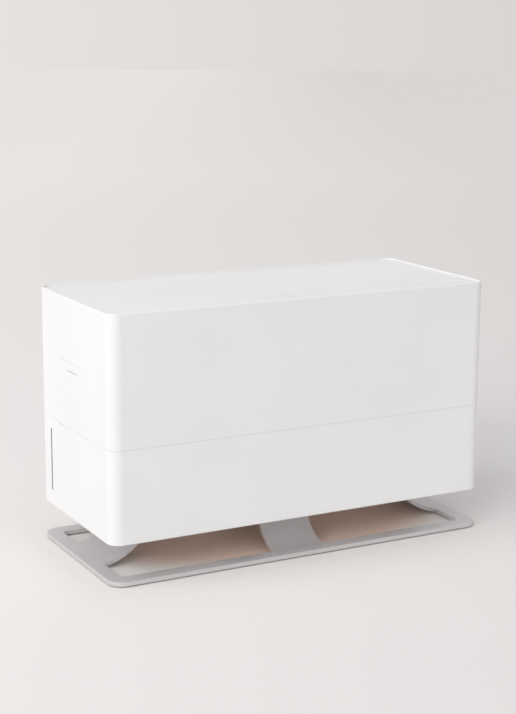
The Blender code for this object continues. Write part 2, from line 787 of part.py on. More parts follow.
def make_motor(side, centre, housing):
    low = HUB_LOW + HUB_FLOOR + MM
    high = SPIDER_LOW - FIT
    end_wall = 2.7 * MM

    def bore(bm):
        add_cylinder(bm, 0, 0, low - MM, high - end_wall, SHAFT_RADIUS + SHAFT_CLEARANCE, 24)

    def can(bm):
        edge = 0.8 * MM
        radius = MOTOR_RADIUS
        add_turned(bm, [(radius - edge, low), (radius, low + edge), (radius, high)], 24)

    motor = part(f"fan_motor_{side}", can, "steel", centre, housing)
    cut(motor, "bore", bore)


def blade_ring(radius, chord, pitch, start):
    """One closed section of a blade, laid round the cylinder of the given radius."""
    middle = (HUB_LOW + HUB_HIGH) / 2
    points = []
    for along, across in ((-0.5, -0.5), (0.5, -0.5), (0.5, 0.5), (-0.5, 0.5)):
        reach = chord * along
        offset = BLADE_THICKNESS * across
        around = reach * math.cos(pitch) - offset * math.sin(pitch)
        height = reach * math.sin(pitch) + offset * math.cos(pitch)
        angle = start + around / radius
        points.append((radius * math.cos(angle), radius * math.sin(angle), middle + height))
    return points


def make_rotor(side, centre, housing):
    hub_inner = HUB_RADIUS - HUB_WALL
    root_radius = HUB_RADIUS - HUB_WALL / 2

    def hub(bm):
        bore = SHAFT_RADIUS + FIT
        profile = [
            (bore, HUB_LOW),
            (HUB_RADIUS - MM, HUB_LOW),
            (HUB_RADIUS, HUB_LOW + MM),
            (HUB_RADIUS, HUB_HIGH),
            (hub_inner, HUB_HIGH),
            (hub_inner, HUB_LOW + HUB_FLOOR),
            (bore, HUB_LOW + HUB_FLOOR),
        ]
        add_turned(bm, profile, 28, closed=True)

    def blades(bm):
        sections = 4
        for number in range(BLADE_COUNT):
            rings = []
            for section in range(sections):
                share = section / (sections - 1)
                radius = root_radius + share * (BLADE_TIP - root_radius)
                chord = BLADE_CHORD[0] + share * (BLADE_CHORD[1] - BLADE_CHORD[0])
                pitch = BLADE_PITCH[0] + share * (BLADE_PITCH[1] - BLADE_PITCH[0])
                start = 2 * math.pi * number / BLADE_COUNT + BLADE_SWEEP * share
                rings.append(blade_ring(radius, chord, pitch, start))
            add_loft(bm, rings)

    def shaft(bm):
        add_cylinder(bm, 0, 0, HUB_LOW - 0.5 * MM, HUB_HIGH - 2 * MM, SHAFT_RADIUS, 24)

    rotor = part(f"fan_rotor_{side}", hub, "black", centre, housing)
    add(rotor, "blades", blades)
    part(f"motor_shaft_{side}", shaft, "steel", centre, housing)


def make_fan(side, x, housing):
    centre = (x, 0, FAN_BASE)
    make_fan_frame(side, centre, housing)
    make_motor(side, centre, housing)
    make_rotor(side, centre, housing)
    for number, sign in enumerate((-1, 1), 1):
        place = (x - sign * FAN_SCREW_AT, sign * FAN_SCREW_AT, FAN_BASE + FAN_HEIGHT + FIT)
        make_screw(f"fan_screw_{side}_{number}", FAN_SCREW, place, housing, pointing_down=True)


# ---- Aroma drawer ------------------------------------------------------------------------------


def make_drawer_guide(housing):
    inner = CUP_HALF + 0.4 * MM
    outer = inner + 2 * MM
    low = DECK_TOP + 0.4 * MM
    floor = CUP_BOTTOM - 0.4 * MM
    high = CUP_TOP - 3 * MM
    outline = [
        (-outer, low),
        (outer, low),
        (outer, high),
        (inner, high),
        (inner, floor),
        (-inner, floor),
        (-inner, high),
        (-outer, high),
    ]
    start = -WIDTH / 2 + DECK_INSET + 0.4 * MM
    end = -WIDTH / 2 + CUP_LENGTH + 4 * MM
    part("drawer_guide", lambda bm: add_prism(bm, outline, "X", start, end), "grey", (0, 0, 0), housing)


def make_drawer(drawer):
    left = -WIDTH / 2
    face_back = left + DRAWER_FACE

    def face(bm):
        add_box(bm, (left, -DRAWER_HALF, DRAWER_LOW), (face_back, DRAWER_HALF, DRAWER_HIGH))

    def cup(bm):
        add_box(bm, (face_back - MM, -CUP_HALF, CUP_BOTTOM), (left + CUP_LENGTH, CUP_HALF, CUP_TOP))

    def hollow(bm):
        inner = CUP_HALF - CUP_WALL
        low = (face_back + CUP_WALL, -inner, CUP_BOTTOM + CUP_WALL)
        add_box(bm, low, (left + CUP_LENGTH - CUP_WALL, inner, CUP_TOP + MM))

    def notch(bm):
        length, height, depth = NOTCH
        low = (left - MM, -length / 2, NOTCH_Z - height / 2)
        add_box(bm, low, (left + depth, length / 2, NOTCH_Z + height / 2))

    def to_local(build):
        """Draws in the object's own frame, whose origin is the drawer group's."""

        def shifted(bm):
            build(bm)
            bmesh.ops.translate(bm, verts=bm.verts, vec=-drawer.location)

        return shifted

    box = part("aroma_drawer", to_local(face), "white", drawer.location, drawer)
    add(box, "cup", to_local(cup))
    cut(box, "hollow", to_local(hollow))
    cut(box, "notch", to_local(notch))

    def pad(bm):
        length, width, height = PAD
        add_box(bm, (-length / 2, -width / 2, 0), (length / 2, width / 2, height))

    place = (PAD_X, 0, CUP_BOTTOM + CUP_WALL + FIT)
    part("aroma_pad", pad, "paper", place, drawer)


# ---- Electronics -------------------------------------------------------------------------------


def make_power_board(housing):
    low, high = POWER_BOARD
    surface = high[2]
    root = surface - MM

    def transformer(bm):
        (x_low, y_low), (x_high, y_high) = TRANSFORMER
        add_box(bm, (x_low, y_low, root), (x_high, y_high, surface + TRANSFORMER_HEIGHT))

    def capacitors(bm):
        for x, y in CAPACITOR_PLACES:
            add_cylinder(bm, x, y, root, surface + CAPACITOR_HEIGHT, CAPACITOR_RADIUS, 16)

    def connectors(bm):
        length, width, height = CONNECTOR
        for x, y in CONNECTOR_PLACES:
            add_box(bm, (x, y, root), (x + length, y + width, surface + height))

    board = part("power_board", lambda bm: add_box(bm, low, high), "green", (0, 0, 0), housing)
    add(board, "transformer", transformer)
    add(board, "capacitors", capacitors)
    add(board, "connectors", connectors)


def make_board_cover(housing):
    low, high = Vector(BOARD_COVER[0]), Vector(BOARD_COVER[1])
    wall = Vector((COVER_WALL, COVER_WALL, COVER_WALL))

    def hollow(bm):
        inner_low = low + wall
        inner_low.z = low.z - MM
        add_box(bm, inner_low, high - wall)

    cover = part("board_cover", lambda bm: add_box(bm, low, high), "grey", (0, 0, 0), housing)
    cut(cover, "hollow", hollow)


def make_humidity_sensor(housing):
    """A small upright board on the rear wall with its sensing chip facing inwards."""
    place = (SENSOR_AT[0], DEPTH / 2 - HOUSING_WALL - FIT, SENSOR_AT[1])
    board_x, board_y, board_z = SENSOR_BOARD
    chip_x, chip_y, chip_z = SENSOR_CHIP

    def board(bm):
        add_box(bm, (-board_x / 2, -board_y, -board_z / 2), (board_x / 2, 0, board_z / 2))

    def chip(bm):
        add_box(bm, (-chip_x / 2, -chip_y, -chip_z / 2), (chip_x / 2, -MM, chip_z / 2))

    sensor = part("humidity_sensor", board, "green", place, housing)
    add(sensor, "chip", chip)


def make_power_inlet(housing):
    """Two-pin appliance inlet; its origin is the middle of its outer face."""
    half_x, depth, half_z = SOCKET[0] / 2, SOCKET[1], SOCKET[2] / 2
    place = (SOCKET_AT[0], DEPTH / 2 - FIT, SOCKET_AT[1])
    flange = 3 * MM
    flange_depth = 2 * MM
    recess = 10.7 * MM
    recess_wall = 2.5 * MM
    pin_radius = 1.2 * MM
    pin_spacing = 8.6 * MM
    pin_front = -2.5 * MM

    def block(bm):
        add_box(bm, (-half_x, -depth, -half_z), (half_x, 0, half_z))

    def collar(bm):
        low = (-half_x - flange, -HOUSING_WALL - flange_depth, -half_z - flange)
        add_box(bm, low, (half_x + flange, -HOUSING_WALL - FIT / 3, half_z + flange))

    def mouth(bm):
        low = (recess_wall - half_x, -recess, recess_wall - half_z)
        add_box(bm, low, (half_x - recess_wall, MM, half_z - recess_wall))

    def pins(bm):
        for x in (-pin_spacing / 2, pin_spacing / 2):
            outline = [(x + u, v) for u, v in circle(pin_radius, 12)]
            add_prism(bm, outline, "Y", -recess - MM, pin_front)

    inlet = part("power_inlet", block, "black", place, housing)
    add(inlet, "collar", collar)
    cut(inlet, "mouth", mouth)
    add(inlet, "pins", pins)


# ---- Assembly ----------------------------------------------------------------------------------


def main():
    clear_scene()
    root = group("base_group", (0, 0, 0))
    housing = group("housing_group", (0, 0, SEAM))
    drawer = group("drawer_group", (-WIDTH / 2, 0, DRAWER_LOW))
    make_stand(root)
    make_feet(root)
    make_stand_screws(root)
    make_water_tank(root)
    make_level_window(root)
    make_float_cage(root)
    make_level_float(root)
    for side, sign in (("left", -1), ("right", 1)):
        make_cassette(side, sign * CASSETTE_X, root)
        make_fan(side, sign * FAN_X, housing)
    make_upper_housing(housing)
    make_top_grille(housing)
    make_buttons(housing)
    make_button_board(housing)
    make_rear_grille(housing)
    make_fan_deck(housing)
    make_drawer_guide(housing)
    make_drawer(drawer)
    make_power_board(housing)
    make_board_cover(housing)
    make_humidity_sensor(housing)
    make_power_inlet(housing)


main()
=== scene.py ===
import math

import bmesh
import bpy
from mathutils import Matrix, Vector


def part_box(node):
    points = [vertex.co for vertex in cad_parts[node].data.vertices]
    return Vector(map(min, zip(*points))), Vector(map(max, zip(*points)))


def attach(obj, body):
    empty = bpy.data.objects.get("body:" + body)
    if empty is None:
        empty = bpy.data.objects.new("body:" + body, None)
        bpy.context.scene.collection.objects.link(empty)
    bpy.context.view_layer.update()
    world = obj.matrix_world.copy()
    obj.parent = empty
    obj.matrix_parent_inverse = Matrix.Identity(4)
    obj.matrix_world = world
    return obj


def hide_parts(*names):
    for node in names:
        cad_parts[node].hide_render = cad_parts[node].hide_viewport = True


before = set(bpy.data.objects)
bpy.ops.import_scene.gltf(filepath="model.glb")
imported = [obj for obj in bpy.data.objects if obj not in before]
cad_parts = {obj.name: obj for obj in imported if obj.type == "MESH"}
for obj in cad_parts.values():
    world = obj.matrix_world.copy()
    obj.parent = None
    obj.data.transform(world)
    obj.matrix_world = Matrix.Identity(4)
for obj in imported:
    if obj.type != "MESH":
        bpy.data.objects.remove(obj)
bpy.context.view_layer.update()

# Looks of the evaporative room humidifier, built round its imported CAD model. Metres, +Z up, -Y is
# the front. Sizes are read from the CAD nodes' boxes or are the details named below. Each piece
# rides on a CAD body, so the same scene holds at every pose.

MM = 0.001
GAP = 0.3 * MM
SIDES = ("left", "right")

# Studio
FLOOR_RADIUS = 14
FLOOR_MIDDLE = 0.6
FLOOR_STEPS = 96
FLOOR_COLOR = (0.885, 0.865, 0.845)
FAR_COLOR = (1.0, 0.962, 0.93)
FAR_FLOOR = 4
# Painted light falloff: the floor colour darkens towards the camera's right over this reach, down to this
# share
PAINTED_FALLOFF_REACH = 0.8
PAINTED_FALLOFF_DIMMEST = 0.87
# Painted shade: a warm, darker floor colour under the tank, fading out past its outline
PAINTED_SHADE_COLOR = (0.90, 0.70, 0.59)
SHADE_SPREAD = 0.02
SHADE_MIDDLE = 0.015
WALL_LEFT = (0.80, 0.765, 0.735)
WALL_RIGHT = (0.69, 0.665, 0.65)
WALL_REACH = 0.17
SKY_COLOR = (0.66, 0.66, 0.67)
SKY_START = 0.05
SKY_END = 0.35
KEY_DIRECTION = (0.75, 0.52, -0.42)
KEY_SOFTNESS = math.radians(30)
KEY_STRENGTH = 1.05
FILL_PLACE = (-1.7, -0.1, 2.2)
FILL_SIZE = 1.6
FILL_POWER = 17

# Camera at the photograph's angle
CAMERA_PLACE = (-0.85353, -1.56862, 0.59255)
CAMERA_AZIMUTH = math.radians(28.325)
CAMERA_ELEVATION = math.radians(12.231)
CAMERA_ROLL = math.radians(0.376)
CAMERA_LENS = 81.39
CAMERA_SENSOR = 36
CAMERA_CLIP = (0.05, 50)

# Boxes of the CAD nodes, and the body's outline
TANK_LOW, TANK_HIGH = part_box("water_tank")
HOUSING_LOW, HOUSING_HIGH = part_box("upper_housing")
STAND_LOW, STAND_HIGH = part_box("stand")
HALF_X = TANK_HIGH.x
HALF_Y = TANK_HIGH.y
CORNER = 14 * MM
CORNER_STEPS = 18
FINE = 5
SEAM = TANK_HIGH.z + 0.2 * MM
SEAM_OPEN = 0.14 * MM

# Stand
SHEET = 4.7 * MM
END_BAR = 17 * MM
LONG_BAR = 17.7 * MM
PLATE_CORNER = 17 * MM
WINDOW_CORNER = 6 * MM
PLATE_STEPS = 16
PLATE_TOP = STAND_LOW.z + SHEET
STAND_EDGE = 0.5 * MM
TONGUE_HALF = 38 * MM
TONGUE_BEND = (226 * MM, 70 * MM, math.radians(52), 120 * MM)
STRAP_HALF = 31 * MM
STRAP_BEND = (87 * MM, 42 * MM, math.radians(60), 0)
BEND_STEPS = 20
SCREW_HOLE = 2.1 * MM

# Water tank
TANK_WALL = 3 * MM
TANK_FLOOR = 2.5 * MM
BOSS_RADIUS = 5.5 * MM
BOSS_HEIGHT = 10 * MM
GRIP_HEIGHT = 4 * MM
GRIP_DEPTH = 2.3 * MM
GRIP_HALF = 40 * MM
GRIP_SHARES = (-0.3, 0, 0.25, 0.5, 0.75, 1)
CAGE_WALL = 1.6 * MM
CAGE_SLOTS = 4
CAGE_SLOT = (2 * MM, 5 * MM, 1.9 * MM)
CAGE_SLOT_START = 15 * MM
CAGE_SLOT_PITCH = 20 * MM
FLOAT_CORNER = 2.4 * MM
FLOAT_LEVELS = [(1.2, 0), (0.4, 0.4), (0, 1.2), (0, 5), (0.5, 5.5)]
FLOAT_LEVELS += [(0.5, 8.5), (0, 9), (0, 12.8), (0.4, 13.6), (1.2, 14)]

# Upper housing
HOUSING_WALL = 2.5 * MM
RIM_WIDTH = 2 * MM
LEDGE_TOP = 284 * MM
LEDGE_WIDTH = 6 * MM
LEDGE_HEIGHT = 2.5 * MM
LIP_OUTER = 3.4 * MM
LIP_INNER = 5.2 * MM
POST_RADIUS = 9.2 * MM
POST_TOP = 214 * MM
POST_HOLE_TOP = 212 * MM
INSERT_FLARE = 0.25 * MM
INSERT_CORNER = 0.8 * MM

# Top grille and buttons
GRILLE_GAP = 0.1 * MM
GRILLE_EDGE = 0.15 * MM
SLOT_PITCH = 5 * MM
SLOT_ROWS = 36
SLOT_WIDTH = 1.7 * MM
SLOT_COLUMNS = 3
SLOT_WEB = 4 * MM
SLOT_MARGIN = 7 * MM
RIB_HEIGHT = 1.3 * MM
RIB_CHAMFER = 0.4 * MM
PANEL_LEFT = 174 * MM
PANEL_REAR = -57 * MM
BUTTON_RADIUS = 3.1 * MM
BUTTON_CLEARANCE = 0.15 * MM
BUTTON_FLANGE = 1.7 * MM
BUTTON_DOME = 0.35 * MM

# Rear grille
REAR_ROWS = 5
REAR_COLUMNS = 3
REAR_MARGIN = 4 * MM
REAR_SLOT = 3.6 * MM

# Aroma drawer and its felt
DRAWER_GAP = 0.1 * MM
DRAWER_FACE = 2.4 * MM
CUP_HALF = 40 * MM
CUP_WALL = 1.6 * MM
CUP_TOP = 216 * MM
NOTCH = (14 * MM, 1.1 * MM, 1.05 * MM)
NOTCH_Z = 210.4 * MM
NOTCH_DEPTH = 1.9 * MM
FELT_COLUMNS = 44
FELT_ROWS = 60

# Wick cassettes
CASSETTE_BAR = 6 * MM
CASSETTE_CORNER = 4 * MM
FINGER_LOOP = (16 * MM, 7 * MM, 6.9 * MM)
LATTICE_DEPTH = 1.6 * MM
LATTICE_WIDTH = 2 * MM
LATTICE_ROOT = 2 * MM
LATTICE_UPRIGHTS = 7
LATTICE_LEVELS = 4
PLEATS = 22
PLEAT_STEPS = 12
PLEAT_PAPER = 1.1 * MM

# Fan deck and fans
DECK_INSET = 5.6 * MM
DECK_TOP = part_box("fan_frame_left")[0].z
DUCT_RADIUS = 57 * MM
DUCT_STEPS = 96
DECK_HOLE = 2 * MM
FAN_FLANGE = 3.5 * MM
FAN_SCREW_AT = 52.5 * MM
FAN_HOLE = 1.9 * MM
FAN_PILLAR = 4.6 * MM
ARM_LEVELS = (22 * MM, 24.8 * MM)
HUB_RADIUS = 22 * MM
HUB_LOW = 3.6 * MM
HUB_HIGH = 19.6 * MM
HUB_BORE = 2.3 * MM
BLADE_COUNT = 7
BLADE_TIP = 54.5 * MM
BLADE_THICKNESS = 1.8 * MM
BLADE_SECTIONS = 9
MOTOR_BORE = 2.1 * MM
MOTOR_PLATE = [(17.2 * MM, 22.1 * MM), (17.2 * MM, 24.3 * MM), (16.4 * MM, 24.9 * MM)]

# Screws
THREAD_PITCH = 0.9 * MM

# Drawer guide
GUIDE_WALL = 2 * MM
GUIDE_SLOT = (5 * MM, 1.4 * MM, 1.3 * MM)
GUIDE_SLOTS_AT = (12 * MM, 29 * MM, 46 * MM)

# Electronics and power inlet
BOARD_SHEET = 1.6 * MM
BOARD_MARGIN = 5 * MM
BOARD_POST = 3 * MM
BOARD_HOLE = 1.5 * MM
TRANSFORMER = ((160 * MM, 18 * MM), (186 * MM, 46 * MM))
WINDING = ((163 * MM, 18.5 * MM), (183 * MM, 45.5 * MM))
CAPACITORS = ((166 * MM, -44 * MM), (166 * MM, -28 * MM))
SOCKETS_X = (194 * MM, 203 * MM)
SOCKET_YS = (-46 * MM, -30 * MM, -14 * MM)
COVER_WALL = 1.8 * MM
COVER_CORNER = 4 * MM
COVER_VENTS = 9
COVER_VENT = (18 * MM, 1.4 * MM, 1.3 * MM)
COVER_VENT_PITCH = 9 * MM
INLET_FLANGE = 3 * MM
INLET_RECESS = 10.7 * MM
INLET_WALL = 2.5 * MM
PIN_SPREAD = 4.3 * MM


# ---- Outlines ----


def box_of(node):
    """A CAD node's box as its low and high corner, its middle and its half size."""
    low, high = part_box(node)
    return low, high, (low + high) / 2, (high - low) / 2


def axes_of(*nodes):
    return [box_of(node)[2].xy for node in nodes]


def filleted(points, steps=FINE, closed=True):
    """A 2D outline from (u, v, radius) corners, each corner rounded by its radius."""
    outline = []
    count = len(points)
    for i, (u, v, radius) in enumerate(points):
        if radius <= 0 or (not closed and i in (0, count - 1)):
            outline.append((u, v))
            continue
        corner = Vector((u, v))
        before = (Vector(points[i - 1][:2]) - corner).normalized()
        after = (Vector(points[(i + 1) % count][:2]) - corner).normalized()
        half = math.acos(max(-1, min(1, before.dot(after)))) / 2
        centre = corner + (before + after).normalized() * radius / math.sin(half)
        first = corner + before * radius / math.tan(half) - centre
        last = corner + after * radius / math.tan(half) - centre
        turn = math.atan2(first.x * last.y - first.y * last.x, first.dot(last))
        for step in range(steps + 1):
            angle = turn * step / steps
            x = centre.x + first.x * math.cos(angle) - first.y * math.sin(angle)
            y = centre.y + first.x * math.sin(angle) + first.y * math.cos(angle)
            outline.append((x, y))
    return outline


def rounded_rectangle(half_u, half_v, radius, steps=FINE, centre=(0, 0)):
    """Points of a rounded rectangle, anticlockwise."""
    u, v = centre
    corners = [(u + half_u, v - half_v), (u + half_u, v + half_v)]
    corners += [(u - half_u, v + half_v), (u - half_u, v - half_v)]
    return filleted([(*corner, radius) for corner in corners], steps)


def body_outline(inset):
    """The body's outline seen from above, moved inwards."""
    return rounded_rectangle(HALF_X - inset, HALF_Y - inset, CORNER - inset, CORNER_STEPS)


def slab_profile(inset, low, high, edge):
    """An (inset, height) profile for a plate that fills the body's outline."""
    inner = inset + 4 * MM
    corners = [(inner, low, 0), (inset, low, edge), (inset, high, edge), (inner, high, 0)]
    return filleted(corners, 3, closed=False)


def circle(radius, steps, x=0, y=0):
    turns = [2 * math.pi * step / steps for step in range(steps)]
    return [(x + radius * math.cos(turn), y + radius * math.sin(turn)) for turn in turns]


def laid(outline, level, axis="Z"):
    """An outline's points in space, on the plane at this level of the axis."""
    if axis == "X":
        return [(level, u, v) for u, v in outline]
    if axis == "Y":
        return [(u, level, v) for u, v in outline]
    return [(u, v, level) for u, v in outline]


# ---- Adding shapes to a mesh ----


def add_loft(bm, rings, closed=False):
    """Skins a row of rings that have equal counts; an open row is capped at both ends."""
    loops = [[bm.verts.new(point) for point in ring] for ring in rings]
    pairs = list(zip(loops, loops[1:]))
    if closed:
        pairs.append((loops[-1], loops[0]))
    for first, second in pairs:
        for i in range(len(first)):
            j = (i + 1) % len(first)
            bm.faces.new((first[i], first[j], second[j], second[i]))
    if not closed:
        bm.faces.new(loops[0][::-1])
        bm.faces.new(loops[-1])


def add_prism(bm, outline, low, high, axis="Z", edge=0):
    """Extrudes an outline along an axis; edge chamfers both rims a little by shrinking them."""
    levels = [(low, 0), (high, 0)]
    if edge:
        levels = [(low, edge), (low + edge, 0), (high - edge, 0), (high, edge)]
    us, vs = [u for u, v in outline], [v for u, v in outline]
    mid_u, mid_v = (min(us) + max(us)) / 2, (min(vs) + max(vs)) / 2
    half_u, half_v = (max(us) - min(us)) / 2, (max(vs) - min(vs)) / 2
    rings = []
    for level, shrink in levels:
        scale_u, scale_v = 1 - shrink / half_u, 1 - shrink / half_v
        ring = [(mid_u + (u - mid_u) * scale_u, mid_v + (v - mid_v) * scale_v) for u, v in outline]
        rings.append(laid(ring, level, axis))
    add_loft(bm, rings)


def add_box(bm, low, high, edge=0):
    """A box between two corners, its four upright and eight level edges softened by edge."""
    middle = (Vector(low) + Vector(high)) / 2
    half = (Vector(high) - Vector(low)) / 2
    if edge:
        outline = rounded_rectangle(half.x, half.y, edge, 3, middle.xy)
    else:
        outline = [(low[0], low[1]), (high[0], low[1]), (high[0], high[1]), (low[0], high[1])]
    add_prism(bm, outline, low[2], high[2], edge=edge * 0.6)


def add_turned(bm, profile, steps, closed=False, x=0, y=0):
    """Turns a (radius, height) profile about an upright axis through x, y."""
    add_loft(bm, [laid(circle(radius, steps, x, y), z) for radius, z in profile], closed)


# ---- Builds: functions that add a shape to a mesh when they are called ----


def prisms(outlines, low, high, axis="Z", edge=0):
    def build(bm):
        for outline in outlines:
            add_prism(bm, outline, low, high, axis, edge)

    return build


def wall(profile, closed=False):
    """Carries an (inset, height) profile round the body's outline."""
    rings = [laid(body_outline(inset), height) for inset, height in profile]
    return lambda bm: add_loft(bm, rings, closed)


def turned(places, profile, steps, closed=False):
    def build(bm):
        for x, y in places:
            add_turned(bm, profile, steps, closed, x, y)

    return build


def rods(places, radius, low, high, steps=20):
    return turned(places, [(radius, low), (radius, high)], steps)


def posts(places, radius, low, high, rounding, steps):
    """Upright posts with rounded tops."""
    corners = [(radius, low, 0), (radius, high, rounding), (0.5 * MM, high, 0)]
    return turned(places, filleted(corners, 4, closed=False), steps)


def moved(build, vector):
    def moved_build(bm):
        build(bm)
        bmesh.ops.translate(bm, verts=bm.verts, vec=vector)

    return moved_build


def mesh_of(name, build):
    bm = bmesh.new()
    build(bm)
    bmesh.ops.recalc_face_normals(bm, faces=bm.faces)
    mesh = bpy.data.meshes.new(name)
    bm.to_mesh(mesh)
    bm.free()
    return mesh


def apply_modifiers(obj):
    bpy.context.view_layer.update()
    graph = bpy.context.evaluated_depsgraph_get()
    made = bpy.data.meshes.new_from_object(obj.evaluated_get(graph))
    obj.modifiers.clear()
    obj.data = made


def make_piece(name, build, steps, material, slot, body, node, sharp=32):
    """Makes a piece that stands for a node, with (operation, build) Booleans one after another.

    Large faces set its normals, so that flat walls shade evenly up to their fillets.
    """
    obj = bpy.data.objects.new(name, mesh_of(name, build))
    bpy.context.scene.collection.objects.link(obj)
    for operation, tool_build in steps:
        tool = bpy.data.objects.new(f"{name}_tool", mesh_of(f"{name}_tool", tool_build))
        bpy.context.scene.collection.objects.link(tool)
        modifier = obj.modifiers.new("shape", "BOOLEAN")
        modifier.operation = operation
        modifier.object = tool
        apply_modifiers(obj)
        bpy.data.objects.remove(tool, do_unlink=True)
    obj.data.materials.clear()
    obj.data.materials.append(material)
    obj.data.shade_smooth()
    obj.data.set_sharp_from_angle(angle=math.radians(sharp))
    modifier = obj.modifiers.new("normals", "WEIGHTED_NORMAL")
    modifier.keep_sharp = True
    apply_modifiers(obj)
    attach(obj, body)
    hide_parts(node)
    return obj


# ---- Materials ----


class Nodes:
    """A material with short calls for the nodes used here; texture space is the object's metres."""

    def __init__(self, name):
        self.material = bpy.data.materials.new(name)
        self.material.use_nodes = True
        self.tree = self.material.node_tree
        self.shader = self.tree.nodes["Principled BSDF"]
        self.place = self.tree.nodes.new("ShaderNodeTexCoord").outputs["Object"]

    def link(self, source, target):
        self.tree.links.new(source, target)

    def mapped(self, **settings):
        """The place, put through a Mapping node with these settings."""
        mapping = self.tree.nodes.new("ShaderNodeMapping")
        for name, value in settings.items():
            mapping.inputs[name].default_value = value
        self.link(self.place, mapping.inputs["Vector"])
        return mapping.outputs["Vector"]

    def noise(self, scale, detail=3.0, stretch=None):
        texture = self.tree.nodes.new("ShaderNodeTexNoise")
        texture.inputs["Scale"].default_value = scale
        texture.inputs["Detail"].default_value = detail
        place = self.mapped(Scale=stretch) if stretch else self.place
        self.link(place, texture.inputs["Vector"])
        return texture.outputs["Fac"]

    def ramp(self, factor, stops):
        """A colour or grey ramp with (position, value) stops."""
        ramp = self.tree.nodes.new("ShaderNodeValToRGB")
        elements = ramp.color_ramp.elements
        while len(elements) < len(stops):
            elements.new(0.5)
        for element, (position, value) in zip(elements, stops):
            element.position = position
            color = value if isinstance(value, tuple) else (value,) * 3
            element.color = (*color, 1)
        self.link(factor, ramp.inputs["Fac"])
        return ramp.outputs["Color"]

    def gradient(self, place, kind):
        gradient = self.tree.nodes.new("ShaderNodeTexGradient")
        gradient.gradient_type = kind
        self.link(place, gradient.inputs["Vector"])
        return gradient.outputs["Fac"]

    def nearness(self, reach_x, reach_y, middle_x=0):
        """1 at an upright axis, falling to 0 on an ellipse with these reaches."""
        scale = (1 / reach_x, 1 / reach_y, 0)
        return self.gradient(self.mapped(Scale=scale, Location=(-middle_x / reach_x, 0, 0)), "SPHERICAL")

    def across(self, reach):
        """0 on the picture's left, rising to 1 on its right, over this reach either way."""
        scale, turn = (0.5 / reach,) * 3, (0, 0, CAMERA_AZIMUTH)
        return self.gradient(self.mapped(Scale=scale, Rotation=turn, Location=(0.5, 0, 0)), "LINEAR")

    def mix(self, first, second, factor=None, kind="MIX"):
        """The first colour, giving way to the second, a socket or a fixed colour."""
        mix = self.tree.nodes.new("ShaderNodeMix")
        mix.data_type, mix.blend_type = "RGBA", kind
        mix.inputs["Factor"].default_value = 1
        if factor:
            self.link(factor, mix.inputs["Factor"])
        self.link(first, mix.inputs["A"])
        if isinstance(second, tuple):
            mix.inputs["B"].default_value = (*second, 1)
        else:
            self.link(second, mix.inputs["B"])
        return mix.outputs["Result"]

    def bump(self, height, strength, distance):
        bump = self.tree.nodes.new("ShaderNodeBump")
        bump.inputs["Strength"].default_value = strength
        bump.inputs["Distance"].default_value = distance
        last = self.shader.inputs["Normal"]
        if last.is_linked:
            self.link(last.links[0].from_socket, bump.inputs["Normal"])
        self.link(height, bump.inputs["Height"])
        self.link(bump.outputs["Normal"], last)

    def color(self, socket):
        self.link(socket, self.shader.inputs["Base Color"])

    def roughness(self, factor, low, high):
        """Roughness that follows a noise between two values."""
        self.link(self.ramp(factor, [(0.3, low), (0.7, high)]), self.shader.inputs["Roughness"])

    def value(self, name, number):
        self.shader.inputs[name].default_value = number


def shades(color, spread):
    """The colour a little darker and a little lighter."""
    return tuple(c * (1 - spread) for c in color), tuple(min(1, c * (1 + spread)) for c in color)


def plastic(name, color, roughness=0.42, grain=0.02 * MM, spread=0.02):
    """Moulded plastic: fine spark-eroded grain, slow flow marks, slightly uneven gloss."""
    nodes = Nodes(name)
    dark, light = shades(color, spread)
    nodes.color(nodes.ramp(nodes.noise(9, 4), [(0.3, dark), (0.7, light)]))
    nodes.roughness(nodes.noise(60, 4), roughness - 0.05, roughness + 0.05)
    nodes.bump(nodes.noise(2200, 2), 0.35, grain)
    nodes.bump(nodes.noise(25, 2), 0.25, 0.05 * MM)
    return nodes.material


def metal_paint(name, color):
    """Silver paint on sheet steel: small bright flakes under a satin skin with light orange peel."""
    nodes = Nodes(name)
    dark, light = shades(color, 0.10)
    nodes.color(nodes.ramp(nodes.noise(2600, 2), [(0.32, dark), (0.5, color), (0.68, light)]))
    nodes.roughness(nodes.noise(900, 3), 0.34, 0.46)
    nodes.bump(nodes.noise(700, 2), 0.25, 0.03 * MM)
    nodes.value("Metallic", 0.4)
    return nodes.material


def turned_metal(name, color, roughness=0.28):
    """Plated or turned steel with fine drawn lines."""
    nodes = Nodes(name)
    dark, light = shades(color, 0.08)
    lines = nodes.noise(900, 3, (1, 1, 12))
    nodes.color(nodes.ramp(lines, [(0.3, dark), (0.7, light)]))
    nodes.roughness(lines, roughness - 0.06, roughness + 0.08)
    nodes.bump(lines, 0.2, 0.02 * MM)
    nodes.value("Metallic", 1.0)
    return nodes.material


def rubber(name):
    nodes = Nodes(name)
    nodes.color(nodes.ramp(nodes.noise(300, 4), [(0.3, (0.035,) * 3), (0.7, (0.06,) * 3)]))
    nodes.roughness(nodes.noise(500, 3), 0.75, 0.92)
    nodes.bump(nodes.noise(1500, 3), 0.5, 0.05 * MM)
    return nodes.material


def smoked_window(name):
    """Smoke-grey translucent plastic with a polished face."""
    nodes = Nodes(name)
    nodes.color(nodes.ramp(nodes.noise(120, 2), [(0.3, (0.20, 0.20, 0.21)), (0.7, (0.25, 0.25, 0.26))]))
    nodes.roughness(nodes.noise(80, 2), 0.12, 0.22)
    nodes.value("Transmission Weight", 0.25)
    nodes.bump(nodes.noise(200, 2), 0.1, 0.02 * MM)
    return nodes.material


def fleece(name, color, scale=700):
    """Absorbent paper or felt: matted fibres and soft blotches."""
    nodes = Nodes(name)
    dark, light = shades(color, 0.07)
    fibres = nodes.noise(scale, 6, (1, 1, 0.35))
    nodes.color(nodes.ramp(fibres, [(0.3, dark), (0.7, light)]))
    nodes.roughness(fibres, 0.85, 1.0)
    nodes.bump(fibres, 0.6, 0.15 * MM)
    nodes.value("Sheen Weight", 0.3)
    return nodes.material


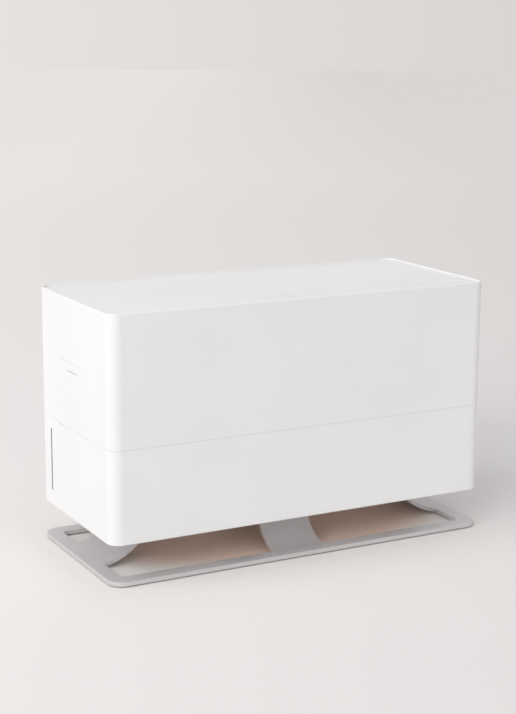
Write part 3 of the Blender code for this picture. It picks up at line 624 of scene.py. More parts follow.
def circuit(name):
    """Solder mask over copper tracks: darker board with slightly raised lighter lines."""
    nodes = Nodes(name)
    brick = nodes.tree.nodes.new("ShaderNodeTexBrick")
    brick.inputs["Scale"].default_value = 90
    brick.inputs["Mortar Size"].default_value = 0.03
    brick.inputs["Color1"].default_value = (0.015, 0.09, 0.04, 1)
    brick.inputs["Color2"].default_value = (0.02, 0.11, 0.05, 1)
    brick.inputs["Mortar"].default_value = (0.05, 0.2, 0.09, 1)
    nodes.link(nodes.place, brick.inputs["Vector"])
    nodes.color(brick.outputs["Color"])
    nodes.roughness(nodes.noise(200, 3), 0.28, 0.42)
    nodes.bump(brick.outputs["Fac"], 0.3, 0.05 * MM)
    return nodes.material


def paper_floor(name):
    """The studio's plain pale paper: paler far away, with painted light falloff that darkens it to the right
    and a painted warm shade under the tank.
    """
    nodes = Nodes(name)
    dark, light = shades(FLOOR_COLOR, 0.006)
    paper = nodes.ramp(nodes.noise(1.5, 3), [(0.3, dark), (0.7, light)])
    away = nodes.ramp(nodes.nearness(FAR_FLOOR, FAR_FLOOR), [(0.0, 1.0), (0.85, 0.0)])
    reach_x, reach_y = HALF_X + SHADE_SPREAD, HALF_Y + SHADE_SPREAD
    # Painted shade: the floor colour turns warm and darker under the tank
    below = nodes.ramp(nodes.nearness(reach_x, reach_y, SHADE_MIDDLE), [(0.08, 0.0), (0.34, 1.0)])
    # Painted light falloff: the floor colour darkens towards the camera's right
    painted_falloff = nodes.ramp(nodes.across(PAINTED_FALLOFF_REACH), [(0.0, 1.0), (1.0, PAINTED_FALLOFF_DIMMEST)])
    paper = nodes.mix(nodes.mix(paper, FAR_COLOR, away), PAINTED_SHADE_COLOR, below)
    nodes.color(nodes.mix(paper, painted_falloff, kind="MULTIPLY"))
    nodes.value("Roughness", 0.9)
    nodes.value("Specular IOR Level", 0.1)
    return nodes.material


WHITE = plastic("white_plastic", (0.83, 0.83, 0.83))
WHITE_GRILLE = plastic("white_grille_plastic", (0.83, 0.83, 0.83), 0.46)
BUTTON_GLOSS = plastic("button_plastic", (0.95, 0.95, 0.95), 0.15, 0.005 * MM)
SILVER = metal_paint("silver_paint", (0.65, 0.63, 0.635))
STEEL = turned_metal("screw_steel", (0.62, 0.62, 0.64))
MOTOR_STEEL = turned_metal("motor_steel", (0.55, 0.55, 0.57), 0.34)
RUBBER = rubber("foot_rubber")
SMOKE = smoked_window("smoked_window")
ORANGE = plastic("float_plastic", (0.85, 0.26, 0.05), 0.35)
PALE_BLUE = plastic("cassette_plastic", (0.60, 0.71, 0.78), 0.4)
PAPER = fleece("wick_paper", (0.80, 0.78, 0.71))
FELT = fleece("aroma_felt", (0.86, 0.84, 0.80), 1100)
GREY = plastic("inner_plastic", (0.48, 0.48, 0.49), 0.48)
BLACK = plastic("fan_plastic", (0.035, 0.035, 0.04), 0.42, 0.03 * MM, 0.15)
GREEN = circuit("solder_mask")


# ---- Stand ----


def rising_sheet(start, radius, slope, end):
    """Upper and lower line of a sheet that climbs from the plate to the tank and levels out."""
    rise = STAND_HIGH.z - PLATE_TOP
    second_radius = rise / (1 - math.cos(slope)) - radius
    run = (radius + second_radius) * math.sin(slope)
    path = [(start + 2.5 * MM, PLATE_TOP, 0)]
    for step in range(BEND_STEPS + 1):
        angle = slope * step / BEND_STEPS
        path.append((start - radius * math.sin(angle), PLATE_TOP + radius * (1 - math.cos(angle)), angle))
    for step in range(BEND_STEPS - 1, -1, -1):
        angle = slope * step / BEND_STEPS
        height = STAND_HIGH.z - second_radius * (1 - math.cos(angle))
        path.append((start - run + second_radius * math.sin(angle), height, angle))
    path.append((end, STAND_HIGH.z, 0))
    above = [(u, v) for u, v, angle in path]
    below = [(u - SHEET * math.sin(angle), v - SHEET * math.cos(angle)) for u, v, angle in path]
    return above, below


def add_sheet_strip(bm, above, below, half, axis):
    """A bent strip between two lines, its long edges rounded over by STAND_EDGE."""
    rings = []
    for line_above, line_below in zip(above, below):
        upper, lower = Vector(line_above), Vector(line_below)
        through = (upper - lower).normalized()
        section = []
        for side, across in ((-1, 0), (-1, 1), (1, 1), (1, 0)):
            corner = upper if across else lower
            inward = -through if across else through
            first = (side * half, corner + inward * STAND_EDGE)
            second = (side * (half - STAND_EDGE), corner)
            middle = (side * (half - 0.3 * STAND_EDGE), corner + inward * 0.3 * STAND_EDGE)
            turn = [first, middle, second]
            section += turn if (side < 0) == bool(across) else turn[::-1]
        if axis == "Y":
            rings.append([(point.x, offset, point.y) for offset, point in section])
        else:
            rings.append([(offset, point.x, point.y) for offset, point in section])
    add_loft(bm, rings)


def make_stand():
    half_x, half_y = STAND_HIGH.x, STAND_HIGH.y
    inner_x, inner_y = half_x - END_BAR, half_y - LONG_BAR

    def plate(bm):
        """The flat frame, as a ring whose section has rounded edges."""
        low, high = STAND_LOW.z, PLATE_TOP
        corners = [(0, low, STAND_EDGE), (0, high, STAND_EDGE), (1, high, 0), (1, low, 0)]
        edge = [(inset, z) for inset, z in filleted(corners, 3) if inset < 0.5]
        rings = []
        for inset, z in edge:
            sides = half_x - inset, half_y - inset, PLATE_CORNER - inset
            rings.append(laid(rounded_rectangle(*sides, PLATE_STEPS), z))
        for inset, z in edge[::-1]:
            sides = inner_x + inset, inner_y + inset, WINDOW_CORNER + inset
            rings.append(laid(rounded_rectangle(*sides, PLATE_STEPS), z))
        add_loft(bm, rings, closed=True)

    def tongues(bm):
        lines = rising_sheet(*TONGUE_BEND)
        for side in (-1, 1):
            above, below = ([(side * u, v) for u, v in line] for line in lines)
            add_sheet_strip(bm, above, below, TONGUE_HALF, "Y")

    def strap(bm):
        lines = rising_sheet(*STRAP_BEND)
        above, below = (line[:-1] + [(-u, v) for u, v in line[-2::-1]] for line in lines)
        add_sheet_strip(bm, above, below, STRAP_HALF, "X")

    screws = axes_of(*(f"stand_screw_{number}" for number in range(1, 7)))
    holes = rods(screws, SCREW_HOLE, STAND_HIGH.z - 2 * SHEET, HOUSING_LOW.z, 24)
    steps = [("UNION", tongues), ("UNION", strap), ("DIFFERENCE", holes)]
    make_piece("bent_stand", plate, steps, SILVER, "stand_metal", "base", "stand", sharp=28)


def make_feet():
    for number in range(1, 5):
        node = f"foot_pad_{number}"
        low, high, middle, half = box_of(node)
        corners = [(0.5 * MM, low.z, 0), (half.x, low.z, 0.35 * MM)]
        corners += [(half.x, high.z, 0.2 * MM), (0.5 * MM, high.z, 0)]
        foot = turned([middle.xy], filleted(corners, 4, closed=False), 48)
        make_piece(f"rubber_foot_{number}", foot, [], RUBBER, "foot_rubber", "base", node)


# ---- Water tank ----


def window_outline(grow=0):
    middle, half = box_of("level_window")[2:]
    half_u, half_v = half.y + grow, half.z + grow
    return rounded_rectangle(half_u, half_v, half_u * 0.98, 6, middle.yz)


def make_tank():
    bottom, rim = TANK_LOW.z, SEAM - SEAM_OPEN / 2
    floor = bottom + TANK_FLOOR
    profile = filleted(
        [
            (8 * MM, bottom, 0),
            (0, bottom, 1.6 * MM),
            (0, rim, 0.12 * MM),
            (TANK_WALL, rim, 0.4 * MM),
            (TANK_WALL, floor, 2 * MM),
            (8 * MM, floor, 0),
        ],
        closed=False,
    )
    screws = axes_of(*(f"stand_screw_{number}" for number in range(1, 7)))
    bosses = posts(screws, BOSS_RADIUS, floor - MM, floor + BOSS_HEIGHT, 0.8 * MM, 32)
    screw_holes = rods(screws, SCREW_HOLE, bottom - MM, bottom + BOSS_HEIGHT)
    slit = prisms([window_outline(GAP)], -HALF_X - MM, -HALF_X + TANK_WALL + MM, "X")

    def grips(bm):
        """Finger scoops under the seam at both ends, deepest at the rim."""
        for side in (-1, 1):
            rings = []
            for share in GRIP_SHARES:
                down = max(0, share)
                inner = HALF_X - GRIP_DEPTH * math.cos(math.pi / 2 * down) ** 0.5
                outer = HALF_X + MM
                end = GRIP_HALF - 6 * MM * down**2
                corners = [(inner, -end), (outer, -end), (outer, end), (inner, end)]
                rings.append([(side * u, v, rim - GRIP_HEIGHT * share) for u, v in corners])
            add_loft(bm, rings)

    steps = [("UNION", bosses), ("DIFFERENCE", screw_holes)]
    steps += [("DIFFERENCE", slit), ("DIFFERENCE", grips)]
    make_piece("water_tank_shell", wall(profile), steps, WHITE, "body_white", "base", "water_tank")


def make_level_parts():
    low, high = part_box("level_window")
    window = prisms([window_outline()], low.x, high.x, "X", 0.15 * MM)
    make_piece("smoked_level_strip", window, [], SMOKE, "window_smoke", "base", "level_window")

    low, high, middle, half = box_of("float_cage")
    inner_x = high.x - CAGE_WALL
    channel = [
        (low.x, low.y, 0.3 * MM),
        (high.x, low.y, 2 * MM),
        (high.x, high.y, 2 * MM),
        (low.x, high.y, 0.3 * MM),
        (low.x, high.y - CAGE_WALL, 0.3 * MM),
        (inner_x, high.y - CAGE_WALL, 0.6 * MM),
        (inner_x, low.y + CAGE_WALL, 0.6 * MM),
        (low.x, low.y + CAGE_WALL, 0.3 * MM),
    ]
    slots = []
    for number in range(CAGE_SLOTS):
        centre = (middle.y, low.z + CAGE_SLOT_START + number * CAGE_SLOT_PITCH)
        slots.append(rounded_rectangle(*CAGE_SLOT, 5, centre))
    steps = [("DIFFERENCE", prisms(slots, inner_x - MM, high.x + MM, "X"))]
    cage = prisms([filleted(channel, 4)], low.z, high.z)
    make_piece("float_channel", cage, steps, PALE_BLUE, "cassette_plastic", "base", "float_cage")

    low, high, middle, half = box_of("level_float")
    rings = []
    for inset, z in FLOAT_LEVELS:
        inset *= MM
        sides = half.x - inset, half.y - inset, FLOAT_CORNER - inset
        rings.append(laid(rounded_rectangle(*sides, 5, middle.xy), low.z + z * MM))
    body = lambda bm: add_loft(bm, rings)
    make_piece("orange_float", body, [], ORANGE, "float_orange", "float", "level_float")


# ---- Upper housing and its outside pieces ----


def flush_opening(low, high, gap, flare, axis):
    """Builds a cutter for a flush insert: straight through the wall, with a small outer flare."""
    middle, half = (low + high) / 2, (high - low) / 2
    if axis == "X":
        side, face, centre, reach = -1, HALF_X, middle.yz, half.yz
    else:
        side, face, centre, reach = 1, HALF_Y, middle.xz, half.xz
    rings = []
    for depth, grow in ((-MM, flare), (0, flare), (flare, 0), (HOUSING_WALL + MM, 0)):
        sides = reach[0] + gap + grow, reach[1] + gap + grow, INSERT_CORNER + grow
        rings.append(laid(rounded_rectangle(*sides, 4, centre), side * (face - depth), axis))
    return lambda bm: add_loft(bm, rings)


def drawer_face_box():
    low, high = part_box("aroma_drawer")
    return low, Vector((low.x + DRAWER_FACE, high.y, high.z))


def make_housing():
    top = HOUSING_HIGH.z
    skirt = SEAM + SEAM_OPEN / 2
    step = LIP_INNER - HOUSING_WALL
    lip_bottom = HOUSING_LOW.z
    ledge_bottom = LEDGE_TOP - LEDGE_HEIGHT
    profile = filleted(
        [
            (0, skirt, 0.12 * MM),
            (0, top, 1.4 * MM),
            (RIM_WIDTH, top, 0.5 * MM),
            (RIM_WIDTH, LEDGE_TOP, 0),
            (LEDGE_WIDTH, LEDGE_TOP, 0.3 * MM),
            (LEDGE_WIDTH, ledge_bottom, 0.3 * MM),
            (HOUSING_WALL, ledge_bottom - LEDGE_WIDTH + HOUSING_WALL, 0.6 * MM),
            (HOUSING_WALL, skirt + 2 * step, 0.6 * MM),
            (LIP_INNER, skirt + step, 0.6 * MM),
            (LIP_INNER, lip_bottom, 0.5 * MM),
            (LIP_OUTER, lip_bottom, 0.5 * MM),
            (LIP_OUTER, skirt, 0),
        ]
    )
    screws = axes_of(*(f"deck_screw_{number}" for number in range(1, 5)))
    socket_low, socket_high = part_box("power_inlet")
    flange = Vector((INLET_FLANGE, 0, INLET_FLANGE))
    drawer = (*drawer_face_box(), DRAWER_GAP, 1.5 * DRAWER_GAP, "X")
    grille = (*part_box("rear_grille"), GAP, INSERT_FLARE, "Y")
    socket = (socket_low + flange, socket_high - flange, GAP, INSERT_FLARE, "Y")
    steps = [
        ("UNION", posts(screws, POST_RADIUS, DECK_TOP, POST_TOP, 1.2 * MM, 40)),
        ("DIFFERENCE", rods(screws, SCREW_HOLE, DECK_TOP - MM, POST_HOLE_TOP)),
    ]
    steps += [("DIFFERENCE", flush_opening(*opening)) for opening in (drawer, grille, socket)]
    shell = wall(profile, closed=True)
    make_piece("housing_shell", shell, steps, WHITE, "body_white", "housing", "upper_housing")


def make_top_grille():
    """A slotted top whose lengthwise ribs run unbroken over sunken cross webs."""
    low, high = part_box("top_grille")
    panel_low = LEDGE_TOP + GAP
    left = low.x + SLOT_MARGIN
    length = (high.x - SLOT_MARGIN - left - SLOT_WEB * (SLOT_COLUMNS - 1)) / SLOT_COLUMNS
    rows = []
    for row in range(SLOT_ROWS):
        y = (row - (SLOT_ROWS - 1) / 2) * SLOT_PITCH
        rows.append((y, PANEL_LEFT if y < PANEL_REAR else high.x - SLOT_MARGIN))

    def add_slot(bm, start, end, y, bottom, flare=0):
        """A slot cutter from bottom upwards, opening out by flare where it leaves the surface."""
        rings = []
        middle = ((start + end) / 2, y)
        above = flare + GAP if flare else 0
        for z, grow in ((bottom, 0), (high.z - flare, 0), (high.z + GAP, above)):
            half = SLOT_WIDTH / 2 + grow
            outline = rounded_rectangle((end - start) / 2 + grow, half, half * 0.98, 3, middle)
            rings.append(laid(outline, z))
        add_loft(bm, rings)

    def slots(bm):
        for y, right in rows:
            for column in range(SLOT_COLUMNS):
                start = left + column * (length + SLOT_WEB)
                add_slot(bm, start + GAP, min(start + length, right) - GAP, y, panel_low - MM)

    def grooves(bm):
        for y, right in rows:
            add_slot(bm, left, right, y, high.z - RIB_HEIGHT, RIB_CHAMFER)

    hole = BUTTON_RADIUS + BUTTON_CLEARANCE
    hole_profile = [(hole, panel_low - MM), (hole, high.z), (hole + MM, high.z + MM)]
    buttons = axes_of(*(f"button_{number}" for number in range(1, 5)))
    board_low, board_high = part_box("button_board")
    board_posts = [(x, board_high.y - 3 * MM) for x in (board_low.x + 3 * MM, board_high.x - 3 * MM)]
    steps = [
        ("DIFFERENCE", slots),
        ("DIFFERENCE", grooves),
        ("DIFFERENCE", turned(buttons, hole_profile, 40)),
        ("UNION", rods(board_posts, 2 * MM, low.z, panel_low + MM)),
    ]
    panel = wall(slab_profile(RIM_WIDTH + GRILLE_GAP, panel_low, high.z, GRILLE_EDGE))
    make_piece("slotted_top", panel, steps, WHITE_GRILLE, "body_white", "housing", "top_grille")


def make_buttons():
    """Glossy keys with a shallow dome."""
    for number in range(1, 5):
        node = f"button_{number}"
        low, high, middle, half = box_of(node)
        flange_top = low.z + BUTTON_FLANGE
        shoulder = high.z - BUTTON_DOME
        profile = [(0.4 * MM, low.z), (half.x, low.z), (half.x, flange_top), (BUTTON_RADIUS, flange_top)]
        profile += [(BUTTON_RADIUS, shoulder - 0.2 * MM), (BUTTON_RADIUS - 0.06 * MM, shoulder)]
        for share in (0.85, 0.7, 0.5, 0.3, 0.1):
            profile.append((BUTTON_RADIUS * share, shoulder + (high.z - shoulder) * (1 - share**2)))
        key = turned([middle.xy], profile, 40)
        make_piece(f"key_{number}", key, [], BUTTON_GLOSS, "button_white", node, node)


def make_rear_grille():
    low, high, middle, half = box_of("rear_grille")
    length = (2 * half.x - REAR_MARGIN * (REAR_COLUMNS + 1)) / REAR_COLUMNS
    pitch = (2 * half.z - 2 * REAR_MARGIN - REAR_SLOT) / (REAR_ROWS - 1)
    slots = []
    for column in range(REAR_COLUMNS):
        x = low.x + REAR_MARGIN + length / 2 + column * (length + REAR_MARGIN)
        for row in range(REAR_ROWS):
            z = low.z + REAR_MARGIN + REAR_SLOT / 2 + row * pitch
            slots.append(rounded_rectangle(length / 2, REAR_SLOT / 2, REAR_SLOT * 0.49, 4, (x, z)))
    outline = rounded_rectangle(half.x, half.z, INSERT_CORNER, 4, middle.xz)
    plate = prisms([outline], low.y, high.y, "Y", 0.2 * MM)
    steps = [("DIFFERENCE", prisms(slots, low.y - MM, high.y + MM, "Y"))]
    make_piece("rear_louvre", plate, steps, WHITE_GRILLE, "body_white", "housing", "rear_grille")


def make_drawer():
    face_low, face_high = drawer_face_box()
    low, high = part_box("aroma_drawer")
    middle, half = (face_low + face_high) / 2, (face_high - face_low) / 2
    outline = rounded_rectangle(half.y, half.z, INSERT_CORNER, 4, middle.yz)
    face = prisms([outline], face_low.x, face_high.x, "X", 0.07 * MM)
    cup_low = low.z + MM

    def cup(bm):
        add_box(bm, (face_high.x - MM, -CUP_HALF, cup_low), (high.x, CUP_HALF, CUP_TOP), 0.8 * MM)

    def hollow(bm):
        first = (face_high.x + CUP_WALL, -CUP_HALF + CUP_WALL, cup_low + CUP_WALL)
        add_box(bm, first, (high.x - CUP_WALL, CUP_HALF - CUP_WALL, CUP_TOP + MM), 2 * MM)

    notch_outline = rounded_rectangle(*NOTCH, 6, (0, NOTCH_Z))
    notch = prisms([notch_outline], face_low.x - MM, face_low.x + NOTCH_DEPTH, "X")
    steps = [("UNION", cup), ("DIFFERENCE", hollow), ("DIFFERENCE", notch)]
    make_piece("scent_drawer", face, steps, WHITE, "body_white", "drawer", "aroma_drawer")


def make_felt():
    middle, half = box_of("aroma_pad")[2:]
    grid = [(i, j) for i in range(FELT_COLUMNS + 1) for j in range(FELT_ROWS + 1)]

    def felt(bm):
        """A thin felt pad: rounded rim, slightly crowned between rows of small dimples."""
        top, bottom = {}, {}
        for i, j in grid:
            u, v = 2 * i / FELT_COLUMNS - 1, 2 * j / FELT_ROWS - 1
            rim = min(1, min(1 - abs(u), 1 - abs(v)) * 14) ** 0.5
            dimple = 0.16 * math.sin(u * 22) * math.sin(v * 30)
            above = half.z * (0.42 + 0.48 * rim + 0.1 * dimple)
            below = half.z * (0.42 + 0.56 * rim)
            x, y = middle.x + half.x * u, middle.y + half.y * v
            top[i, j] = bm.verts.new((x, y, middle.z + above))
            bottom[i, j] = bm.verts.new((x, y, middle.z - below))
        for i, j in grid:
            if i < FELT_COLUMNS and j < FELT_ROWS:
                square = [(i, j), (i + 1, j), (i + 1, j + 1), (i, j + 1)]
                bm.faces.new([top[at] for at in square])
                bm.faces.new([bottom[at] for at in square[::-1]])
        edge = [(i, 0) for i in range(FELT_COLUMNS)]
        edge += [(FELT_COLUMNS, j) for j in range(FELT_ROWS)]
        edge += [(i, FELT_ROWS) for i in range(FELT_COLUMNS, 0, -1)]
        edge += [(0, j) for j in range(FELT_ROWS, 0, -1)]
        for first, second in zip(edge, edge[1:] + edge[:1]):
            bm.faces.new((top[first], bottom[first], bottom[second], top[second]))

    pad = make_piece("scent_felt", felt, [], FELT, "pad_felt", "drawer", "aroma_pad", sharp=60)


# ---- Wick cassettes ----


def make_cassette_frame(side):
    """A moulded frame with a fine lattice on both faces and a finger loop in its top bar."""
    node = f"cassette_frame_{side}"
    low, high, middle, half = box_of(node)
    inner_x, inner_z = half.x - CASSETTE_BAR, half.z - CASSETTE_BAR
    root_x, root_z = inner_x + LATTICE_ROOT, inner_z + LATTICE_ROOT
    bar = LATTICE_WIDTH / 2

    def ring(bm):
        corners = [(0, low.y, MM), (0, high.y, MM)]
        corners += [(CASSETTE_BAR, high.y, 0.5 * MM), (CASSETTE_BAR, low.y, 0.5 * MM)]
        rings = []
        for inset, y in filleted(corners, 3):
            sides = half.x - inset, half.z - inset, max(CASSETTE_CORNER - inset, MM)
            rings.append(laid(rounded_rectangle(*sides, 6, middle.xz), y, "Y"))
        add_loft(bm, rings, closed=True)

    def faces(inset):
        """Where the two lattices start and end from front to back."""
        yield low.y + inset, low.y + LATTICE_DEPTH - inset
        yield high.y - LATTICE_DEPTH + inset, high.y - inset

    def places(centre, reach, count):
        return [centre + reach * (2 * (number + 1) / (count + 1) - 1) for number in range(count)]

    def uprights(bm):
        for y_low, y_high in faces(0.2 * MM):
            for x in places(middle.x, inner_x, LATTICE_UPRIGHTS):
                first = (x - bar, y_low, middle.z - root_z)
                add_box(bm, first, (x + bar, y_high, middle.z + root_z), 0.3 * MM)

    def levels(bm):
        for y_low, y_high in faces(0.35 * MM):
            for z in places(middle.z, inner_z, LATTICE_LEVELS):
                first = (middle.x - root_x, y_low, z - bar)
                add_box(bm, first, (middle.x + root_x, y_high, z + bar))

    loop = rounded_rectangle(*FINGER_LOOP, 8, middle.xy)
    finger_hole = prisms([loop], high.z - 3.5 * MM, high.z + MM)
    steps = [("UNION", uprights), ("UNION", levels), ("DIFFERENCE", finger_hole)]
    make_piece(f"cassette_{side}", ring, steps, PALE_BLUE, "cassette_plastic", "base", node)


def make_wick(side):
    """Pleated evaporator paper: one thick sheet folded to and fro between the two lattices."""
    node = f"wick_pad_{side}"
    low, high, middle, half = box_of(node)
    count = PLEATS * PLEAT_STEPS
    reach = half.y - PLEAT_PAPER * 0.6
    path = []
    for step in range(count + 1):
        wave = math.sin(2 * math.pi * step / PLEAT_STEPS)
        x = low.x + PLEAT_PAPER + (high.x - low.x - 2 * PLEAT_PAPER) * step / count
        path.append(Vector((x, middle.y + reach * wave / math.sqrt(wave**2 + 0.12))))
    front, back = [], []
    for i, point in enumerate(path):
        along = (path[min(i + 1, count)] - path[max(i - 1, 0)]).normalized()
        aside = Vector((-along.y, along.x)) * PLEAT_PAPER / 2
        front.append(point + aside)
        back.append(point - aside)

    def paper(bm):
        outline = front + back[::-1]
        total = len(outline)
        lower, upper = ([bm.verts.new(point) for point in laid(outline, z)] for z in (low.z, high.z))
        for i in range(total):
            j = (i + 1) % total
            bm.faces.new((lower[i], lower[j], upper[j], upper[i]))
        for i in range(count):
            bm.faces.new((lower[i + 1], lower[i], lower[total - 1 - i], lower[total - 2 - i]))
            bm.faces.new((upper[i], upper[i + 1], upper[total - 2 - i], upper[total - 1 - i]))

    make_piece(f"pleated_wick_{side}", paper, [], PAPER, "wick_paper", "base", node, sharp=70)


# ---- Fan deck and fans ----


def fan_centre(side):
    low, _, middle, _ = box_of(f"fan_frame_{side}")
    return Vector((middle.x, middle.y, low.z))


def make_fan_deck():
    low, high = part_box("fan_deck")
    top = DECK_TOP - GAP
    mouth = DUCT_RADIUS + 1.2 * MM
    section = [(mouth, low.z - MM), (mouth, low.z), (DUCT_RADIUS, low.z + 1.2 * MM), (DUCT_RADIUS, top + MM)]
    ducts = turned([fan_centre(side).xy for side in SIDES], section, DUCT_STEPS)
    screws = axes_of(*(f"deck_screw_{number}" for number in range(1, 5)))
    screws += axes_of(*(f"fan_screw_{side}_{number}" for side in SIDES for number in (1, 2)))
    holes = rods(screws, DECK_HOLE, low.z - MM, top + MM)
    board_posts = rods(board_corners(), BOARD_POST, top - MM, high.z, 24)
    steps = [("DIFFERENCE", ducts), ("DIFFERENCE", holes), ("UNION", board_posts)]
    plate = wall(slab_profile(DECK_INSET, low.z, top, 0.4 * MM))
    make_piece("deck_plate", plate, steps, GREY, "inner_grey", "housing", "fan_deck")


def make_fan_frame(side):
    """A square fan frame: two flanges joined by a thin duct and four corner pillars."""
    node = f"fan_frame_{side}"
    low, high, _, half = box_of(node)
    height = high.z - low.z
    square = [rounded_rectangle(half.x, half.x, 6 * MM, 8)]
    corners = [(u * FAN_SCREW_AT, v * FAN_SCREW_AT) for u in (-1, 1) for v in (-1, 1)]
    inside = FAN_FLANGE / 2, height - FAN_FLANGE / 2
    mouth = DUCT_RADIUS + 1.5 * MM
    bore = [(mouth, -MM), (mouth, 0), (DUCT_RADIUS, 2.5 * MM), (DUCT_RADIUS, height - 2.5 * MM)]
    bore += [(mouth, height), (mouth, height + MM)]

    def arms(bm):
        reach = DUCT_RADIUS + 1.2 * MM
        arm = [(8 * MM, -3.4 * MM), (reach, -2 * MM), (reach, 2 * MM), (8 * MM, 3.4 * MM)]
        for quarter in range(4):
            cos, sin = math.cos(math.pi / 2 * quarter), math.sin(math.pi / 2 * quarter)
            turned_arm = [(u * cos - v * sin, u * sin + v * cos) for u, v in arm]
            add_loft(bm, [laid(turned_arm, z) for z in ARM_LEVELS])

    steps = [
        ("UNION", prisms(square, height - FAN_FLANGE, height, edge=0.4 * MM)),
        ("UNION", rods([(0, 0)], DUCT_RADIUS + 1.9 * MM, *inside, DUCT_STEPS)),
        ("UNION", rods(corners, FAN_PILLAR, *inside, 24)),
        ("DIFFERENCE", turned([(0, 0)], bore, DUCT_STEPS)),
        ("DIFFERENCE", rods(corners, FAN_HOLE, -MM, height + MM)),
        ("UNION", arms),
        ("UNION", turned([(0, 0)], MOTOR_PLATE, 64)),
    ]
    centre = fan_centre(side)
    steps = [(operation, moved(build, centre)) for operation, build in steps]
    bottom_flange = moved(prisms(square, 0, FAN_FLANGE, edge=0.4 * MM), centre)
    make_piece(f"fan_housing_{side}", bottom_flange, steps, BLACK, "fan_black", "housing", node)


def blade_section(radius, chord, pitch, start, middle):
    """A thin aerofoil laid round the cylinder of the given radius, rounded in front, fine behind."""
    stations = 9
    upper = [(step / (stations - 1), 1) for step in range(stations)]
    lower = [(1 - step / (stations - 1), -1) for step in range(1, stations - 1)]
    points = []
    for share, surface in upper + lower:
        thick = BLADE_THICKNESS * (math.sqrt(share) - share) * 1.6 + 0.12 * MM
        camber = 0.06 * chord * math.sin(math.pi * share)
        reach = chord * (share - 0.5)
        offset = camber + surface * thick / 2
        around = reach * math.cos(pitch) - offset * math.sin(pitch)
        height = reach * math.sin(pitch) + offset * math.cos(pitch)
        angle = start + around / radius
        points.append((radius * math.cos(angle), radius * math.sin(angle), middle + height))
    return points


def make_rotor(side):
    centre = fan_centre(side)
    inner, floor = HUB_RADIUS - 4.5 * MM, HUB_LOW + 2.5 * MM
    profile = filleted(
        [
            (HUB_BORE, HUB_LOW, 0),
            (HUB_RADIUS, HUB_LOW, 2 * MM),
            (HUB_RADIUS, HUB_HIGH, 0.4 * MM),
            (inner, HUB_HIGH, 0.4 * MM),
            (inner, floor, 0.5 * MM),
            (HUB_BORE, floor, 0),
        ]
    )

    def blades(bm):
        root = HUB_RADIUS - 2 * MM
        for number in range(BLADE_COUNT):
            rings = []
            for section in range(BLADE_SECTIONS):
                share = section / (BLADE_SECTIONS - 1)
                radius = root + share * (BLADE_TIP - root)
                chord = (18 + 12 * share) * MM
                pitch = math.radians(38 - 16 * share)
                start = 2 * math.pi * number / BLADE_COUNT + 0.25 * share
                rings.append(blade_section(radius, chord, pitch, start, (HUB_LOW + HUB_HIGH) / 2))
            add_loft(bm, rings)

    hub = moved(turned([(0, 0)], profile, 72, closed=True), centre)
    steps = [("UNION", moved(blades, centre))]
    make_piece(f"impeller_{side}", hub, steps, BLACK, "fan_black", f"rotor_{side}", f"fan_rotor_{side}")


def make_motor(side):
    node = f"fan_motor_{side}"
    low, high, middle, half = box_of(node)
    radius, waist = half.x, half.x - 0.4 * MM
    profile = filleted(
        [
            (MOTOR_BORE, low.z, 0),
            (radius, low.z, 1.2 * MM),
            (radius, low.z + 4 * MM, 0),
            (waist, low.z + 4.2 * MM, 0),
            (waist, high.z - 3 * MM, 0),
            (radius, high.z - 2.8 * MM, 0),
            (radius, high.z, 0.3 * MM),
            (MOTOR_BORE, high.z, 0),
        ],
        4,
    )
    can = turned([middle.xy], profile, 64, closed=True)
    make_piece(f"motor_can_{side}", can, [], MOTOR_STEEL, "motor_steel", "housing", node)


# ---- Screws ----


def make_screw(node, body, head_up=False):
    """A pan-head screw with a cross recess and a few turns of thread."""
    low, high, middle, half = box_of(node)
    head = half.x
    head_height = head * 0.7
    shank = head * 0.47
    length = high.z - low.z
    sign = -1 if head_up else 1
    start = high.z if head_up else low.z

    def level(depth):
        return start + sign * depth

    profile = [(head * share, level(head_height * 0.45 * share**3)) for share in (0.12, 0.4, 0.7, 0.9)]
    profile += [(head, level(head_height * 0.75)), (head, level(head_height)), (shank, level(head_height))]
    depth = head_height + THREAD_PITCH
    while depth < length - 2 * THREAD_PITCH:
        profile += [(shank, level(depth)), (shank * 0.8, level(depth + THREAD_PITCH / 2))]
        depth += THREAD_PITCH
    profile += [(shank * 0.75, level(depth)), (shank * 0.2, level(length))]

    def recess(bm):
        arm, width = head * 0.55, head * 0.11
        cross = [(arm, -width), (arm, width), (width, width), (width, arm), (-width, arm), (-width, width)]
        cross += [(-u, -v) for u, v in cross]
        rings = []
        for reach, scale in ((-MM, 1.1), (head_height * 0.7, 0.5)):
            outline = [(middle.x + u * scale, middle.y + v * scale) for u, v in cross]
            rings.append(laid(outline, level(reach)))
        add_loft(bm, rings if sign > 0 else rings[::-1])

    steps = [("DIFFERENCE", recess)]
    make_piece(f"threaded_{node}", turned([middle.xy], profile, 24), steps, STEEL, "screw_steel", body, node)


def make_screws():
    for number in range(1, 7):
        make_screw(f"stand_screw_{number}", "base")
    for number in range(1, 5):
        make_screw(f"deck_screw_{number}", "housing")
    for side in SIDES:
        for number in (1, 2):
            make_screw(f"fan_screw_{side}_{number}", "housing", head_up=True)


# ---- Drawer guide, electronics and power inlet ----


